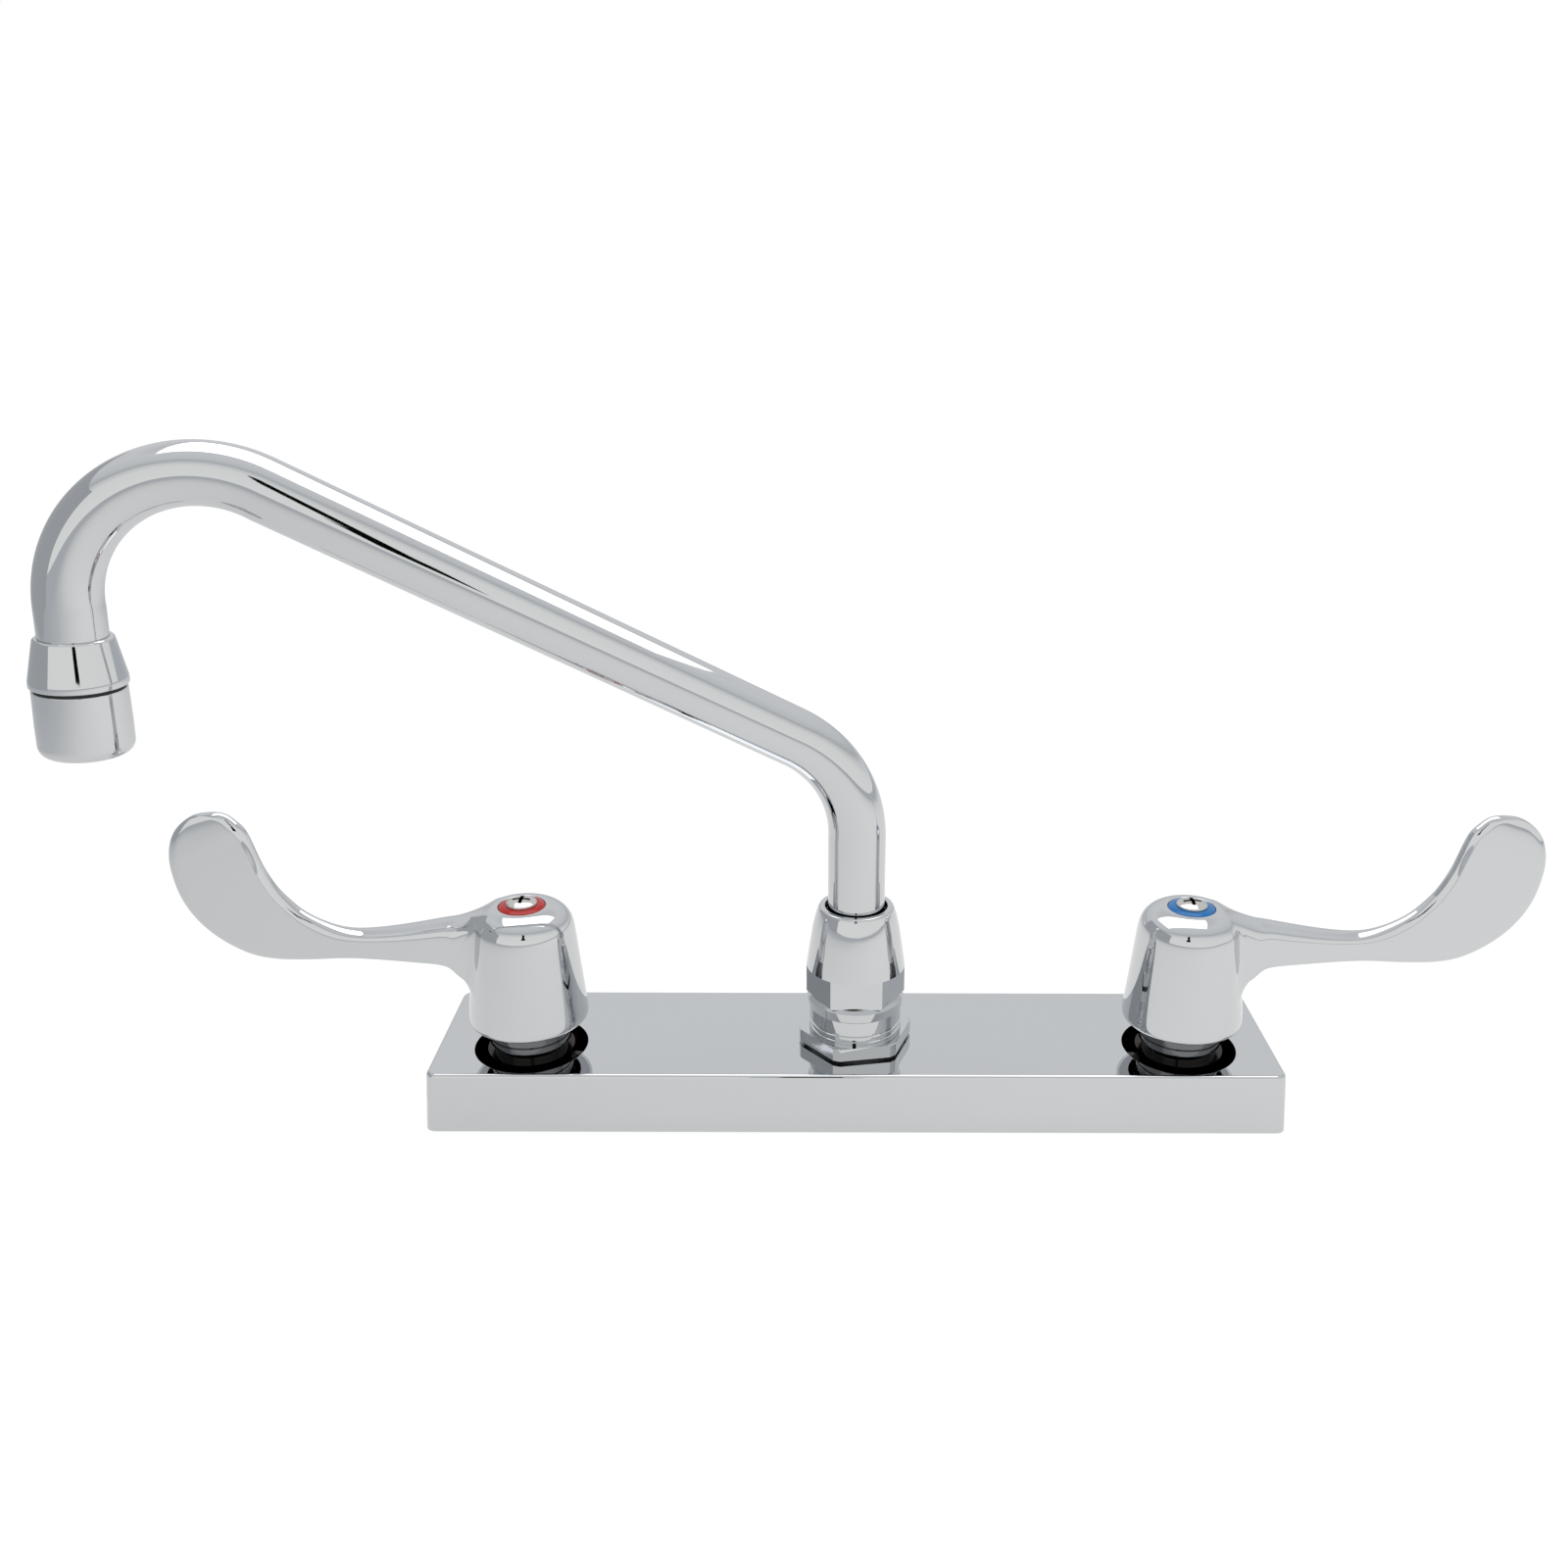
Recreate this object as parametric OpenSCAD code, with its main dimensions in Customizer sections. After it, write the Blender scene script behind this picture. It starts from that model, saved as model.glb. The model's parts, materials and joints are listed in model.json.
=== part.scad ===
// Deck mount faucet with two wrist blade handles and a swing spout.
// Origin on the deck under the middle of the cover plate, Z up, the user in front at -Y, hot at -X.
// All sizes are in millimetres.

/* [Cover plate] */
// Distance from each valve's centre to the end of the plate, at its foot
plate_overhang = 30.2; // [27:0.1:48]
// Distance from the valve line to the plate's front, at its foot
plate_front = 20; // [19.5:0.5:26]
// Distance from the valve line to the plate's back, at its foot
plate_back = 36; // [32:0.5:48]
// Height of the plate above the deck
plate_height = 19; // [18:0.5:26]
// Thickness of the plate's walls and top
plate_wall = 2.6; // [2:0.1:3]
// Radius of the plate's upright corners at the foot
plate_corner = 3.2; // [3:0.1:6]
// How far each wall leans in between the foot and the top
plate_lean = 1.1; // [0:0.1:1.4]
// Radius of the plate's top edge
plate_edge = 1.2; // [0.6:0.1:1.4]
// Diameter of the hole round each valve
valve_hole_d = 35; // [32:0.5:35.5]
// Thickness of the rubber base gasket
base_gasket_t = 2; // [1.5:0.1:2.4]

/* [Layout] */
// Distance between the two valve centres
valve_centres = 203.2; // [196:0.1:206]
// How far the spout axis stands behind the valve line
spout_behind = 5; // [3:0.5:6]
// Thickness of the deck that the shanks are drawn clamped to
deck_thickness = 20; // [3:1:26]

/* [Spout] */
// Outer diameter of the spout tube
tube_d = 17.46; // [16:0.01:17.6]
// Wall of the spout tube
tube_wall = 1.2; // [0.8:0.1:1.6]
// Distance from the spout axis to the middle of the outlet's mouth
spout_reach = 212; // [180:1:260]
// Height above the plate at which the tube starts to bend
upright_height = 68.4; // [56:0.1:90]
// Slope of the straight run, in degrees above level
rise_angle = 28.2; // [20:0.1:40]
// Bend radius above the post, at the tube's middle
post_bend_r = 37.4; // [30:0.1:45]
// Bend radius above the outlet, at the tube's middle
outlet_bend_r = 35.35; // [28:0.05:40]
// Straight length of tube between the outlet bend and the aerator
outlet_drop = 7.6; // [4:0.1:20]
// Lean of the outlet away from the post, in degrees
outlet_lean = 2.5; // [0:0.5:6]
// Angle between the spout at rest and the plate's length, towards the user
spout_turn = 9.2; // [0:0.1:60]

/* [Aerator] */
// Diameter of the collar's top
collar_top_d = 19.7; // [19.2:0.1:21]
// Diameter of the collar's foot
collar_foot_d = 24.6; // [24:0.1:27]
// Height of the collar
collar_height = 12.1; // [10:0.1:14]
// Height of the black ring between collar and housing
aerator_ring_h = 1; // [0.5:0.1:1.5]
// Widest diameter of the aerator's housing
housing_d = 24.1; // [24:0.1:26]
// Height of the aerator's housing
housing_height = 19.1; // [17:0.1:24]
// Radius of the housing's bottom edge
housing_edge = 3.2; // [1:0.1:3.2]

/* [Swivel nut and post] */
// Diameter of the nut's round rim
nut_rim_d = 23.2; // [21.5:0.1:25]
// Diameter of the nut's wide band
nut_band_d = 30.6; // [30:0.1:33]
// Distance across the wrench flats on the band
nut_flats = 26.8; // [26.4:0.1:29]
// Height of the nut above its foot
nut_height = 33.5; // [28:0.5:40]
// Height of the band's lower edge above the nut's foot
nut_band_low = 6.3; // [4:0.1:8]
// Height of the band
nut_band_h = 7.3; // [5:0.1:9]
// Diameter of the post's large thread
post_thread_d = 28.6; // [28:0.1:29.2]
// Height of the large thread above the plate
post_thread_rise = 12.5; // [9:0.5:16]
// Diameter of the post's upper thread, inside the swivel nut
post_upper_d = 23.8; // [23.6:0.1:24.2]
// Length of the post's upper thread
post_upper_h = 8.5; // [7:0.5:10]
// Bore of the post
post_bore_d = 19.6; // [19.4:0.1:20]
// Distance across the flats of the thin locknut
locknut_flats = 31.75; // [31:0.05:34]
// Diameter over the locknut's trimmed corners
locknut_corner_d = 35.4; // [34.5:0.1:37]
// Height of the locknut
locknut_h = 4.1; // [3:0.1:6]
// Turn of the locknut, in degrees
locknut_turn = 10.3; // [0:0.1:60]
// Thickness of the black gasket under the locknut
locknut_gasket_t = 0.9; // [0.5:0.1:1.5]

/* [Valves] */
// Outer diameter of a valve body
valve_body_d = 26.8; // [26.4:0.1:28]
// Diameter of a bonnet's wide rings
bonnet_d = 25.2; // [24.6:0.1:26]
// Diameter of a bonnet's neck, inside the valve body
bonnet_neck_d = 22.4; // [21.8:0.1:22.8]
// Height of a bonnet's rings above the plate, from lowest to top
bonnet_rise = 12; // [11.5:0.1:13]
// Diameter of a cartridge shell
shell_d = 20.4; // [20:0.1:20.6]
// Diameter of a valve stem
stem_d = 12; // [11:0.1:12.4]
// Side of the squares that make the stem's splines
spline_side = 6.2; // [5.6:0.1:6.6]
// Diameter of the shank's mounting thread, through the deck
shank_d = 22; // [21.8:0.1:22.4]
// Diameter of the supply thread at the shank's foot
supply_thread_d = 20.96; // [20.8:0.01:21.2]
// Bore of the supply shank
shank_bore_d = 13; // [11:0.5:14]
// Length of the supply shank below the deck's top
shank_length = 57; // [50:1:75]
// Diameter of the copper cross tubes
cross_tube_d = 9.52; // [9:0.01:9.6]

/* [Handles] */
// Diameter of the handle's hub at its foot
hub_foot_d = 36.7; // [36:0.1:39]
// Diameter of the hub at its shoulder
hub_shoulder_d = 31.2; // [30:0.1:33]
// Gap between the plate and the hub's foot
hub_gap = 10; // [9.5:0.1:12]
// Height of the hub
hub_height = 37; // [35:0.5:42]
// Radius of the hub's rounded shoulder
hub_shoulder_r = 4.8; // [3:0.1:6]
// Diameter of the hollow in the hub's foot
hub_hollow_d = 29.2; // [28:0.1:30]
// Distance from the valve's axis to the lever's tip
lever_reach = 104.6; // [90:0.1:130]
// Rise of the blade's top above the hub's foot
lever_rise = 67.6; // [60:0.1:80]
// Thickness of the lever at its slimmest stretch of neck
lever_thickness = 7.3; // [6:0.1:9]
// Outer diameter of the coloured index ring
index_d = 15; // [14:0.1:16]
// Inner diameter of the coloured index ring
index_bore_d = 9.8; // [9.4:0.1:10.4]
// Diameter of the handle screw's head
screw_head_d = 9.3; // [8.8:0.1:9.3]

/* [Hidden] */
$fn = 96;

// Sides: the hot valve stands at -X and the cold one at +X
hot = -1;
cold = 1;

// Fits and cuts
running_fit = 0.05;
thread_fit = 0.05;
seal_fit = 0.02;
loose_fit = 0.3;
overrun = 0.5;

// Levels of the plate and of what stands on it
plate_length = valve_centres + 2 * plate_overhang;
plate_depth = plate_front + plate_back;
valve_forward = plate_depth / 2 - plate_front;
spout_forward = valve_forward - spout_behind;
plate_top = plate_height;
hub_foot_z = plate_top + hub_gap;
hub_top_z = hub_foot_z + hub_height;
plate_ceiling = plate_height - plate_wall;
body_floor = base_gasket_t;
locknut_foot = plate_top + locknut_gasket_t;
nut_foot = plate_top + post_thread_rise;
post_top = nut_foot + post_upper_h;
nut_top = nut_foot + nut_height;
bearing_t = 1;
flange_t = 3;
thrust_t = 1.1;
flange_foot = post_top + bearing_t;
flange_top = flange_foot + flange_t;
thrust_top = flange_top + thrust_t;

// Radii used in several places
tube_r = tube_d / 2;
tube_bore_r = tube_r - tube_wall;
bend_swell = 0.05;
post_bore_r = post_bore_d / 2;
sleeve_r = post_bore_r - running_fit;
post_upper_r = post_upper_d / 2;
nut_bore_r = post_upper_r + thread_fit;

// Spout route, seen from the side with the reach along +X
lean_s = sin(outlet_lean);
lean_c = cos(outlet_lean);
rise_s = sin(rise_angle);
rise_c = cos(rise_angle);
bend_foot = plate_top + upright_height;
mouth_depth = outlet_drop + collar_height + aerator_ring_h + housing_height;
post_bend_run = post_bend_r * (1 - rise_s);
outlet_bend_run = outlet_bend_r * (rise_s + lean_c);
straight_run = spout_reach - mouth_depth * lean_s - post_bend_run - outlet_bend_run;
straight_length = straight_run / rise_c;
straight_foot_z = bend_foot + post_bend_r * rise_c;
straight_top_x = post_bend_run + straight_run;
straight_top_z = straight_foot_z + straight_length * rise_s;
outlet_centre_x = straight_top_x + outlet_bend_r * rise_s;
outlet_centre_z = straight_top_z - outlet_bend_r * rise_c;
outlet_x = outlet_centre_x + outlet_bend_r * lean_c;
outlet_z = outlet_centre_z + outlet_bend_r * lean_s;

// Spout sleeve and its seals
sleeve_lift = 9;
sleeve_foot = body_floor + sleeve_lift;
tube_seat_drop = 1.5;
tube_seat_z = nut_foot - tube_seat_drop;
sleeve_bore_r = 7;
flange_inset = 0.6;
flange_r = post_upper_r - flange_inset;
oring_r = 0.8;
lower_oring_lift = 6;
oring_spacing = 7;
lower_oring_z = sleeve_foot + lower_oring_lift;
upper_oring_z = lower_oring_z + oring_spacing;
oring_centre_r = post_bore_r - seal_fit - oring_r;

// Aerator levels, downwards from the end of the outlet bend
collar_top_z = -outlet_drop;
collar_grip = 8.5;
tube_end_z = collar_top_z - collar_grip;
collar_foot_z = collar_top_z - collar_height;
ring_foot_z = collar_foot_z - aerator_ring_h;
housing_foot_z = ring_foot_z - housing_height;
collar_neck_r = 10.4;
collar_neck_h = 7;
collar_bore_r = 7.2;
collar_lip = 0.8;
housing_thread_r = collar_neck_r + thread_fit;
housing_top_r = 11.8;
housing_lip_t = 1.6;
housing_lip_r = 9.2;
insert_r = 10.2;
aerator_washer_t = 1.3;
screen_t = 0.6;
neck_foot_z = collar_foot_z - collar_neck_h;
insert_top_z = neck_foot_z - aerator_washer_t;
insert_foot_z = housing_foot_z + housing_lip_t + screen_t;

// Valve levels, upwards from the deck
port_lift = 7.2;
port_z = body_floor + port_lift;
seat_lift = 0.5;
seat_z = body_floor + seat_lift;
seal_t = 2.3;
disc_t = 2.5;
disc_foot_z = seat_z + seal_t;
moving_foot_z = disc_foot_z + disc_t;
stem_foot_z = moving_foot_z + disc_t;
stem_foot_t = 2.5;
stem_washer_t = 1.7;
bonnet_foot_z = stem_foot_z + stem_foot_t + stem_washer_t;
bonnet_ring_lift = 2.8;
bonnet_ring_z = plate_top + bonnet_ring_lift;
bonnet_groove_lift = 5;
bonnet_groove_z = plate_top + bonnet_groove_lift;
bonnet_groove_h = 0.6;
bonnet_groove_t = 0.5;
bonnet_top_z = plate_top + bonnet_rise;
bonnet_hex_flats = 19;
bonnet_hex_h = 5;
stem_shoulder_lift = 11;
stem_shoulder_z = hub_foot_z + stem_shoulder_lift;
shell_r = shell_d / 2;
shell_wall = 1.5;
shell_bore_r = shell_r - shell_wall;
shell_lip_r = 7;
shell_lip_t = 1.5;
seal_bore_r = 4.6;
disc_r = shell_bore_r - running_fit;
stem_r = stem_d / 2;
bonnet_bore_r = stem_r + running_fit;
stem_foot_inset = 0.5;
stem_foot_r = shell_bore_r - stem_foot_inset;
neck_r = bonnet_neck_d / 2;
shank_r = shank_d / 2;
supply_thread_r = supply_thread_d / 2;
valve_body_r = valve_body_d / 2;
boss_r = 6.5;
boss_length = 5.6;
boss_reach = valve_body_r + boss_length;
socket_depth = 5;
water_r = 3.6;
cross_r = cross_tube_d / 2;
centre_r = 17;
centre_boss_length = 5;
centre_boss_reach = centre_r + centre_boss_length;

// Fixings under the deck, and the level below them where the supply thread starts
deck_washer_t = 2.5;
friction_washer_t = 1.5;
mounting_nut_h = 9;
mounting_nut_flats = 28.6;
nut_flange_t = 1.5;
deck_washer_r = 19;
thread_runout = 1;
mounting_nut_top = -deck_thickness - deck_washer_t - friction_washer_t;
supply_thread_top = mounting_nut_top - mounting_nut_h - thread_runout;

// Handle levels, upwards from the deck
hollow_depth = 15;
hub_foot_edge = 1.8;
index_seat = 1.4;
index_proud = 0.6;
stem_top_drop = 8;
stem_top_z = hub_top_z - stem_top_drop;
spline_fit = 0.1;
screw_r = 1.8;
screw_fit = 0.05;
screw_depth = 9;
hub_foot_r = hub_foot_d / 2;
hub_side_r = hub_shoulder_d / 2;

// Lever neck: reach as a share of lever_reach, low and high edge as shares of hub_height,
// thickness as a share of lever_thickness
neck_shares = [
  [0.105, 0.203, 0.927, 2.20],
  [0.150, 0.314, 0.943, 1.95],
  [0.172, 0.395, 0.930, 1.80],
  [0.191, 0.459, 0.914, 1.70],
  [0.229, 0.516, 0.897, 1.57],
  [0.306, 0.534, 0.854, 1.42],
  [0.402, 0.546, 0.814, 1.22]];

// Lever blade: low edge and high edge as shares of lever_reach and lever_rise, then the thickness
blade_shares = [
  [0.502, 0.303, 0.483, 0.438, 1.02],
  [0.583, 0.296, 0.545, 0.456, 0.89],
  [0.660, 0.290, 0.598, 0.491, 0.80],
  [0.731, 0.293, 0.641, 0.536, 0.74],
  [0.793, 0.312, 0.676, 0.592, 0.71],
  [0.846, 0.351, 0.700, 0.639, 0.70],
  [0.889, 0.396, 0.719, 0.692, 0.70],
  [0.927, 0.453, 0.734, 0.747, 0.69],
  [0.959, 0.519, 0.746, 0.802, 0.69],
  [0.982, 0.595, 0.755, 0.852, 0.68],
  [0.994, 0.672, 0.765, 0.896, 0.67],
  [1.000, 0.751, 0.777, 0.932, 0.67],
  [0.996, 0.821, 0.795, 0.962, 0.66],
  [0.985, 0.879, 0.818, 0.984, 0.65],
  [0.966, 0.926, 0.844, 0.997, 0.62],
  [0.941, 0.962, 0.874, 0.999, 0.55],
  [0.924, 0.979, 0.895, 0.996, 0.42]];
lever_steps = 2;
lever_sides = 18;
lever_softness = 3.2;

function neck_station(s) = [
  s[0] * lever_reach, hub_foot_z + s[1] * hub_height,
  s[0] * lever_reach, hub_foot_z + s[2] * hub_height, s[3] * lever_thickness];
function blade_station(s) = [
  s[0] * lever_reach, hub_foot_z + s[1] * lever_rise,
  s[2] * lever_reach, hub_foot_z + s[3] * lever_rise, s[4] * lever_thickness];
function spline(a, b, c, d, t) =
  (2 * b + (c - a) * t + (2 * a - 5 * b + 4 * c - d) * t * t + (3 * b - a - 3 * c + d) * t * t * t) / 2;
function soft(v) = sign(v) * pow(abs(v), 2 / lever_softness);

lever_stations = concat([for (s = neck_shares) neck_station(s)], [for (s = blade_shares) blade_station(s)]);
lever_last = len(lever_stations) - 1;
lever_rows = concat(
  [for (i = [0:lever_last - 1]) for (k = [0:lever_steps - 1]) spline(
    lever_stations[max(i - 1, 0)], lever_stations[i],
    lever_stations[i + 1], lever_stations[min(i + 2, lever_last)], k / lever_steps)],
  [lever_stations[lever_last]]);
lever_points = [for (row = lever_rows) for (k = [0:lever_sides - 1])
  let (across = soft(cos(360 * k / lever_sides)) / 2, side = soft(sin(360 * k / lever_sides)) / 2)
  [row[0] * (0.5 - across) + row[2] * (0.5 + across), row[4] * side,
    row[1] * (0.5 - across) + row[3] * (0.5 + across)]];
lever_faces = concat(
  [[for (k = [lever_sides - 1:-1:0]) k]],
  [for (i = [0:len(lever_rows) - 2]) for (k = [0:lever_sides - 1])
    let (a = i * lever_sides + k, b = i * lever_sides + (k + 1) % lever_sides)
    [a, b, a + lever_sides]],
  [for (i = [0:len(lever_rows) - 2]) for (k = [0:lever_sides - 1])
    let (a = i * lever_sides + k, b = i * lever_sides + (k + 1) % lever_sides)
    [b, b + lever_sides, a + lever_sides]],
  [[for (k = [0:lever_sides - 1]) (len(lever_rows) - 1) * lever_sides + k]]);

chrome_colour = "#C9CDD1";
brass_colour = "#B9975B";
copper_colour = "#B56D48";
steel_colour = "#A7A9AC";
rubber_colour = "#1E1E20";
nylon_colour = "#E6E4DC";
ceramic_colour = "#EFEDE6";
red_colour = "#D5332B";
blue_colour = "#3484CC";

// Places
module at_valve(side) {
  translate([side * valve_centres / 2, -valve_forward, 0]) mirror([side < 0 ? 1 : 0, 0, 0]) children();
}

module at_spout() {
  translate([0, -spout_forward, 0]) children();
}

module along_spout() {
  at_spout() rotate([0, 0, 180 + spout_turn]) children();
}

module at_outlet() {
  along_spout() translate([outlet_x, 0, outlet_z]) rotate([0, -outlet_lean, 0]) children();
}

// Shapes that repeat
module turned(points) {
  rotate_extrude() polygon(points);
}

module ring(outer_r, inner_r, low, high) {
  turned([[inner_r, low], [outer_r, low], [outer_r, high], [inner_r, high]]);
}

module seal_ring(path_r, section_r, level) {
  translate([0, 0, level]) rotate_extrude() translate([path_r, 0]) circle(section_r);
}

module bore(r, low, high) {
  translate([0, 0, low]) cylinder(r = r, h = high - low);
}

module hex_prism(flats, low, high) {
  translate([0, 0, low]) cylinder(d = flats / cos(30), h = high - low, $fn = 6);
}

module splines(side, low, high) {
  translate([0, 0, low]) linear_extrude(high - low) union() {
    for (i = [0:2]) rotate(30 * i) square(side, center = true);
  }
}

// Cover plate
corner_x = plate_length / 2 - plate_corner;
corner_y = plate_depth / 2 - plate_corner;
top_corner = plate_corner - plate_lean;

module wall_section() {
  polygon([[0, 0], [plate_corner, 0], [top_corner, plate_top - plate_edge], [0, plate_top - plate_edge]]);
  translate([0, plate_top - plate_edge]) square([top_corner - plate_edge, plate_edge]);
  translate([top_corner - plate_edge, plate_top - plate_edge]) intersection() {
    circle(plate_edge);
    square(plate_edge);
  }
}

module plate_solid() {
  translate([-corner_x, -corner_y, 0]) cube([2 * corner_x, 2 * corner_y, plate_top]);
  for (turn = [0, 180]) rotate([0, 0, turn]) {
    translate([corner_x, corner_y, 0]) rotate([90, 0, 0]) linear_extrude(2 * corner_y) wall_section();
    translate([-corner_x, corner_y, 0]) rotate([90, 0, 90]) linear_extrude(2 * corner_x) wall_section();
    translate([corner_x, corner_y, 0]) rotate_extrude(angle = 90) wall_section();
    translate([-corner_x, corner_y, 0]) rotate([0, 0, 90]) rotate_extrude(angle = 90) wall_section();
  }
}

cavity_x = plate_length - 2 * (plate_lean + plate_wall);
cavity_y = plate_depth - 2 * (plate_lean + plate_wall);

module cover_plate() {
  color(chrome_colour) difference() {
    plate_solid();
    translate([-cavity_x / 2, -cavity_y / 2, -overrun]) cube([cavity_x, cavity_y, plate_ceiling + overrun]);
    at_spout() bore(post_thread_d / 2 + loose_fit, plate_ceiling - overrun, plate_top + overrun);
    for (side = [hot, cold]) at_valve(side)
      bore(valve_hole_d / 2, plate_ceiling - overrun, plate_top + overrun);
  }
}

module base_gasket() {
  gasket_x = cavity_x - 2 * loose_fit;
  gasket_y = cavity_y - 2 * loose_fit;
  color(rubber_colour) difference() {
    translate([-gasket_x / 2, -gasket_y / 2, 0]) cube([gasket_x, gasket_y, base_gasket_t]);
    for (side = [hot, cold]) at_valve(side) bore(shank_r + loose_fit, -overrun, base_gasket_t + overrun);
  }
}

// Water way through the middle
post_thread_r = post_thread_d / 2;
thread_pitch = 1.8;
thread_depth = 0.45;
thread_crest_share = 0.45;
thread_root_shares = [0.6, 0.85];

function thread_points(r, low, turns) =
  [for (i = [0:turns - 1]) each [
    [r, low + i * thread_pitch], [r, low + (i + thread_crest_share) * thread_pitch],
    [r - thread_depth, low + (i + thread_root_shares[0]) * thread_pitch],
    [r - thread_depth, low + (i + thread_root_shares[1]) * thread_pitch]]];

post_collar_h = 4;
post_thread_turns = floor((nut_foot - post_collar_h - locknut_foot - locknut_h) / thread_pitch) + 1;
post_thread_foot = nut_foot - post_collar_h - post_thread_turns * thread_pitch;
chamber_floor_t = 2;
chamber_floor = body_floor + chamber_floor_t;

module centre_body() {
  color(brass_colour) difference() {
    union() {
      at_spout() turned(concat(
        [[0, body_floor], [centre_r, body_floor], [centre_r, plate_ceiling], [post_thread_r, plate_ceiling]],
        thread_points(post_thread_r, post_thread_foot, post_thread_turns),
        [[post_thread_r, nut_foot - post_collar_h], [post_thread_r, nut_foot],
          [post_upper_r, nut_foot], [post_upper_r, post_top], [0, post_top]]));
      translate([-centre_boss_reach, -valve_forward, port_z]) rotate([0, 90, 0])
        cylinder(r = boss_r, h = 2 * centre_boss_reach);
    }
    at_spout() bore(post_bore_r, sleeve_foot - running_fit, post_top + overrun);
    at_spout() bore(post_bore_r - running_fit * 2, chamber_floor, sleeve_foot);
    for (turn = [0, 180]) translate([0, -valve_forward, port_z]) rotate([0, 0, turn]) rotate([0, 90, 0]) {
      cylinder(r = water_r, h = centre_boss_reach);
      bore(cross_r + thread_fit, centre_boss_reach - socket_depth, centre_boss_reach + overrun);
    }
  }
}

module cross_tube(side) {
  tube_from = centre_boss_reach - socket_depth;
  tube_to = valve_centres / 2 - boss_reach + socket_depth;
  color(copper_colour) translate([0, -valve_forward, port_z]) rotate([0, side * 90, 0])
    ring(cross_r, water_r, tube_from, tube_to);
}

// Valves
module valve_body(side) {
  color(brass_colour) at_valve(side) difference() {
    union() {
      turned([[0, -shank_length], [supply_thread_r, -shank_length], [supply_thread_r, supply_thread_top],
        [shank_r, supply_thread_top], [shank_r, body_floor],
        [valve_body_r, body_floor], [valve_body_r, plate_top], [0, plate_top]]);
      translate([-boss_reach, 0, port_z]) rotate([0, 90, 0]) cylinder(r = boss_r, h = boss_reach);
    }
    bore(shank_bore_d / 2, -shank_length - overrun, seat_z - shell_lip_t);
    bore(seal_bore_r, -shank_length, seat_z + overrun);
    bore(shell_r + running_fit, seat_z, bonnet_foot_z + overrun);
    bore(neck_r + thread_fit, bonnet_foot_z, plate_top + overrun);
    translate([0, 0, port_z]) rotate([0, -90, 0]) bore(water_r, 0, boss_reach);
    translate([0, 0, port_z]) rotate([0, -90, 0])
      bore(cross_r + thread_fit, boss_reach - socket_depth, boss_reach + overrun);
  }
}

module cartridge_shell(side) {
  window_w = 7;
  color(brass_colour) at_valve(side) difference() {
    turned([[shell_lip_r, seat_z], [shell_r, seat_z], [shell_r, bonnet_foot_z], [shell_bore_r, bonnet_foot_z],
      [shell_bore_r, disc_foot_z], [shell_lip_r, disc_foot_z]]);
    translate([-shell_r - overrun, -window_w / 2, moving_foot_z])
      cube([2 * (shell_r + overrun), window_w, stem_foot_t + disc_t]);
  }
}

module seat_seal(side) {
  color(rubber_colour) at_valve(side) ring(shell_lip_r - running_fit, seal_bore_r, seat_z, disc_foot_z);
}

disc_port_r = 2.4;
disc_port_x = 4.4;

module disc(side, low) {
  color(ceramic_colour) at_valve(side) difference() {
    bore(disc_r, low, low + disc_t);
    for (turn = [90, 270]) rotate([0, 0, turn]) translate([disc_port_x, 0, 0])
      bore(disc_port_r, low - overrun, low + disc_t + overrun);
  }
}

module fixed_disc(side) {
  disc(side, disc_foot_z);
}

module moving_disc(side) {
  disc(side, moving_foot_z);
}

bonnet_oring_r = 0.5;
bonnet_oring_z = bonnet_foot_z + (plate_top - bonnet_foot_z) / 2;
bonnet_oring_centre = neck_r + thread_fit - seal_fit - bonnet_oring_r;

module bonnet(side) {
  bonnet_r = bonnet_d / 2;
  edge = 0.4;
  oring_groove_r = bonnet_oring_centre - bonnet_oring_r;
  color(chrome_colour) at_valve(side) difference() {
    union() {
      turned([[bonnet_bore_r, bonnet_foot_z], [neck_r, bonnet_foot_z],
        [neck_r, bonnet_oring_z - bonnet_oring_r], [oring_groove_r, bonnet_oring_z - bonnet_oring_r],
        [oring_groove_r, bonnet_oring_z + bonnet_oring_r], [neck_r, bonnet_oring_z + bonnet_oring_r],
        [neck_r, bonnet_ring_z], [bonnet_r - edge, bonnet_ring_z], [bonnet_r, bonnet_ring_z + edge],
        [bonnet_r, bonnet_groove_z], [bonnet_r - bonnet_groove_t, bonnet_groove_z],
        [bonnet_r - bonnet_groove_t, bonnet_groove_z + bonnet_groove_h],
        [bonnet_r, bonnet_groove_z + bonnet_groove_h], [bonnet_r, bonnet_top_z - 2 * edge],
        [bonnet_r - 2 * edge, bonnet_top_z], [bonnet_bore_r, bonnet_top_z]]);
      difference() {
        hex_prism(bonnet_hex_flats, bonnet_top_z - overrun, bonnet_top_z + bonnet_hex_h);
        bore(bonnet_bore_r, bonnet_foot_z, bonnet_top_z + bonnet_hex_h + overrun);
      }
    }
  }
}

module bonnet_oring(side) {
  color(rubber_colour) at_valve(side) seal_ring(bonnet_oring_centre, bonnet_oring_r, bonnet_oring_z);
}

module stem_washer(side) {
  color(nylon_colour) at_valve(side)
    ring(stem_foot_r, bonnet_bore_r, stem_foot_z + stem_foot_t, bonnet_foot_z);
}

stem_oring_r = 0.7;
stem_oring_z = bonnet_ring_z;
stem_oring_centre = bonnet_bore_r - seal_fit - stem_oring_r;

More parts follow.
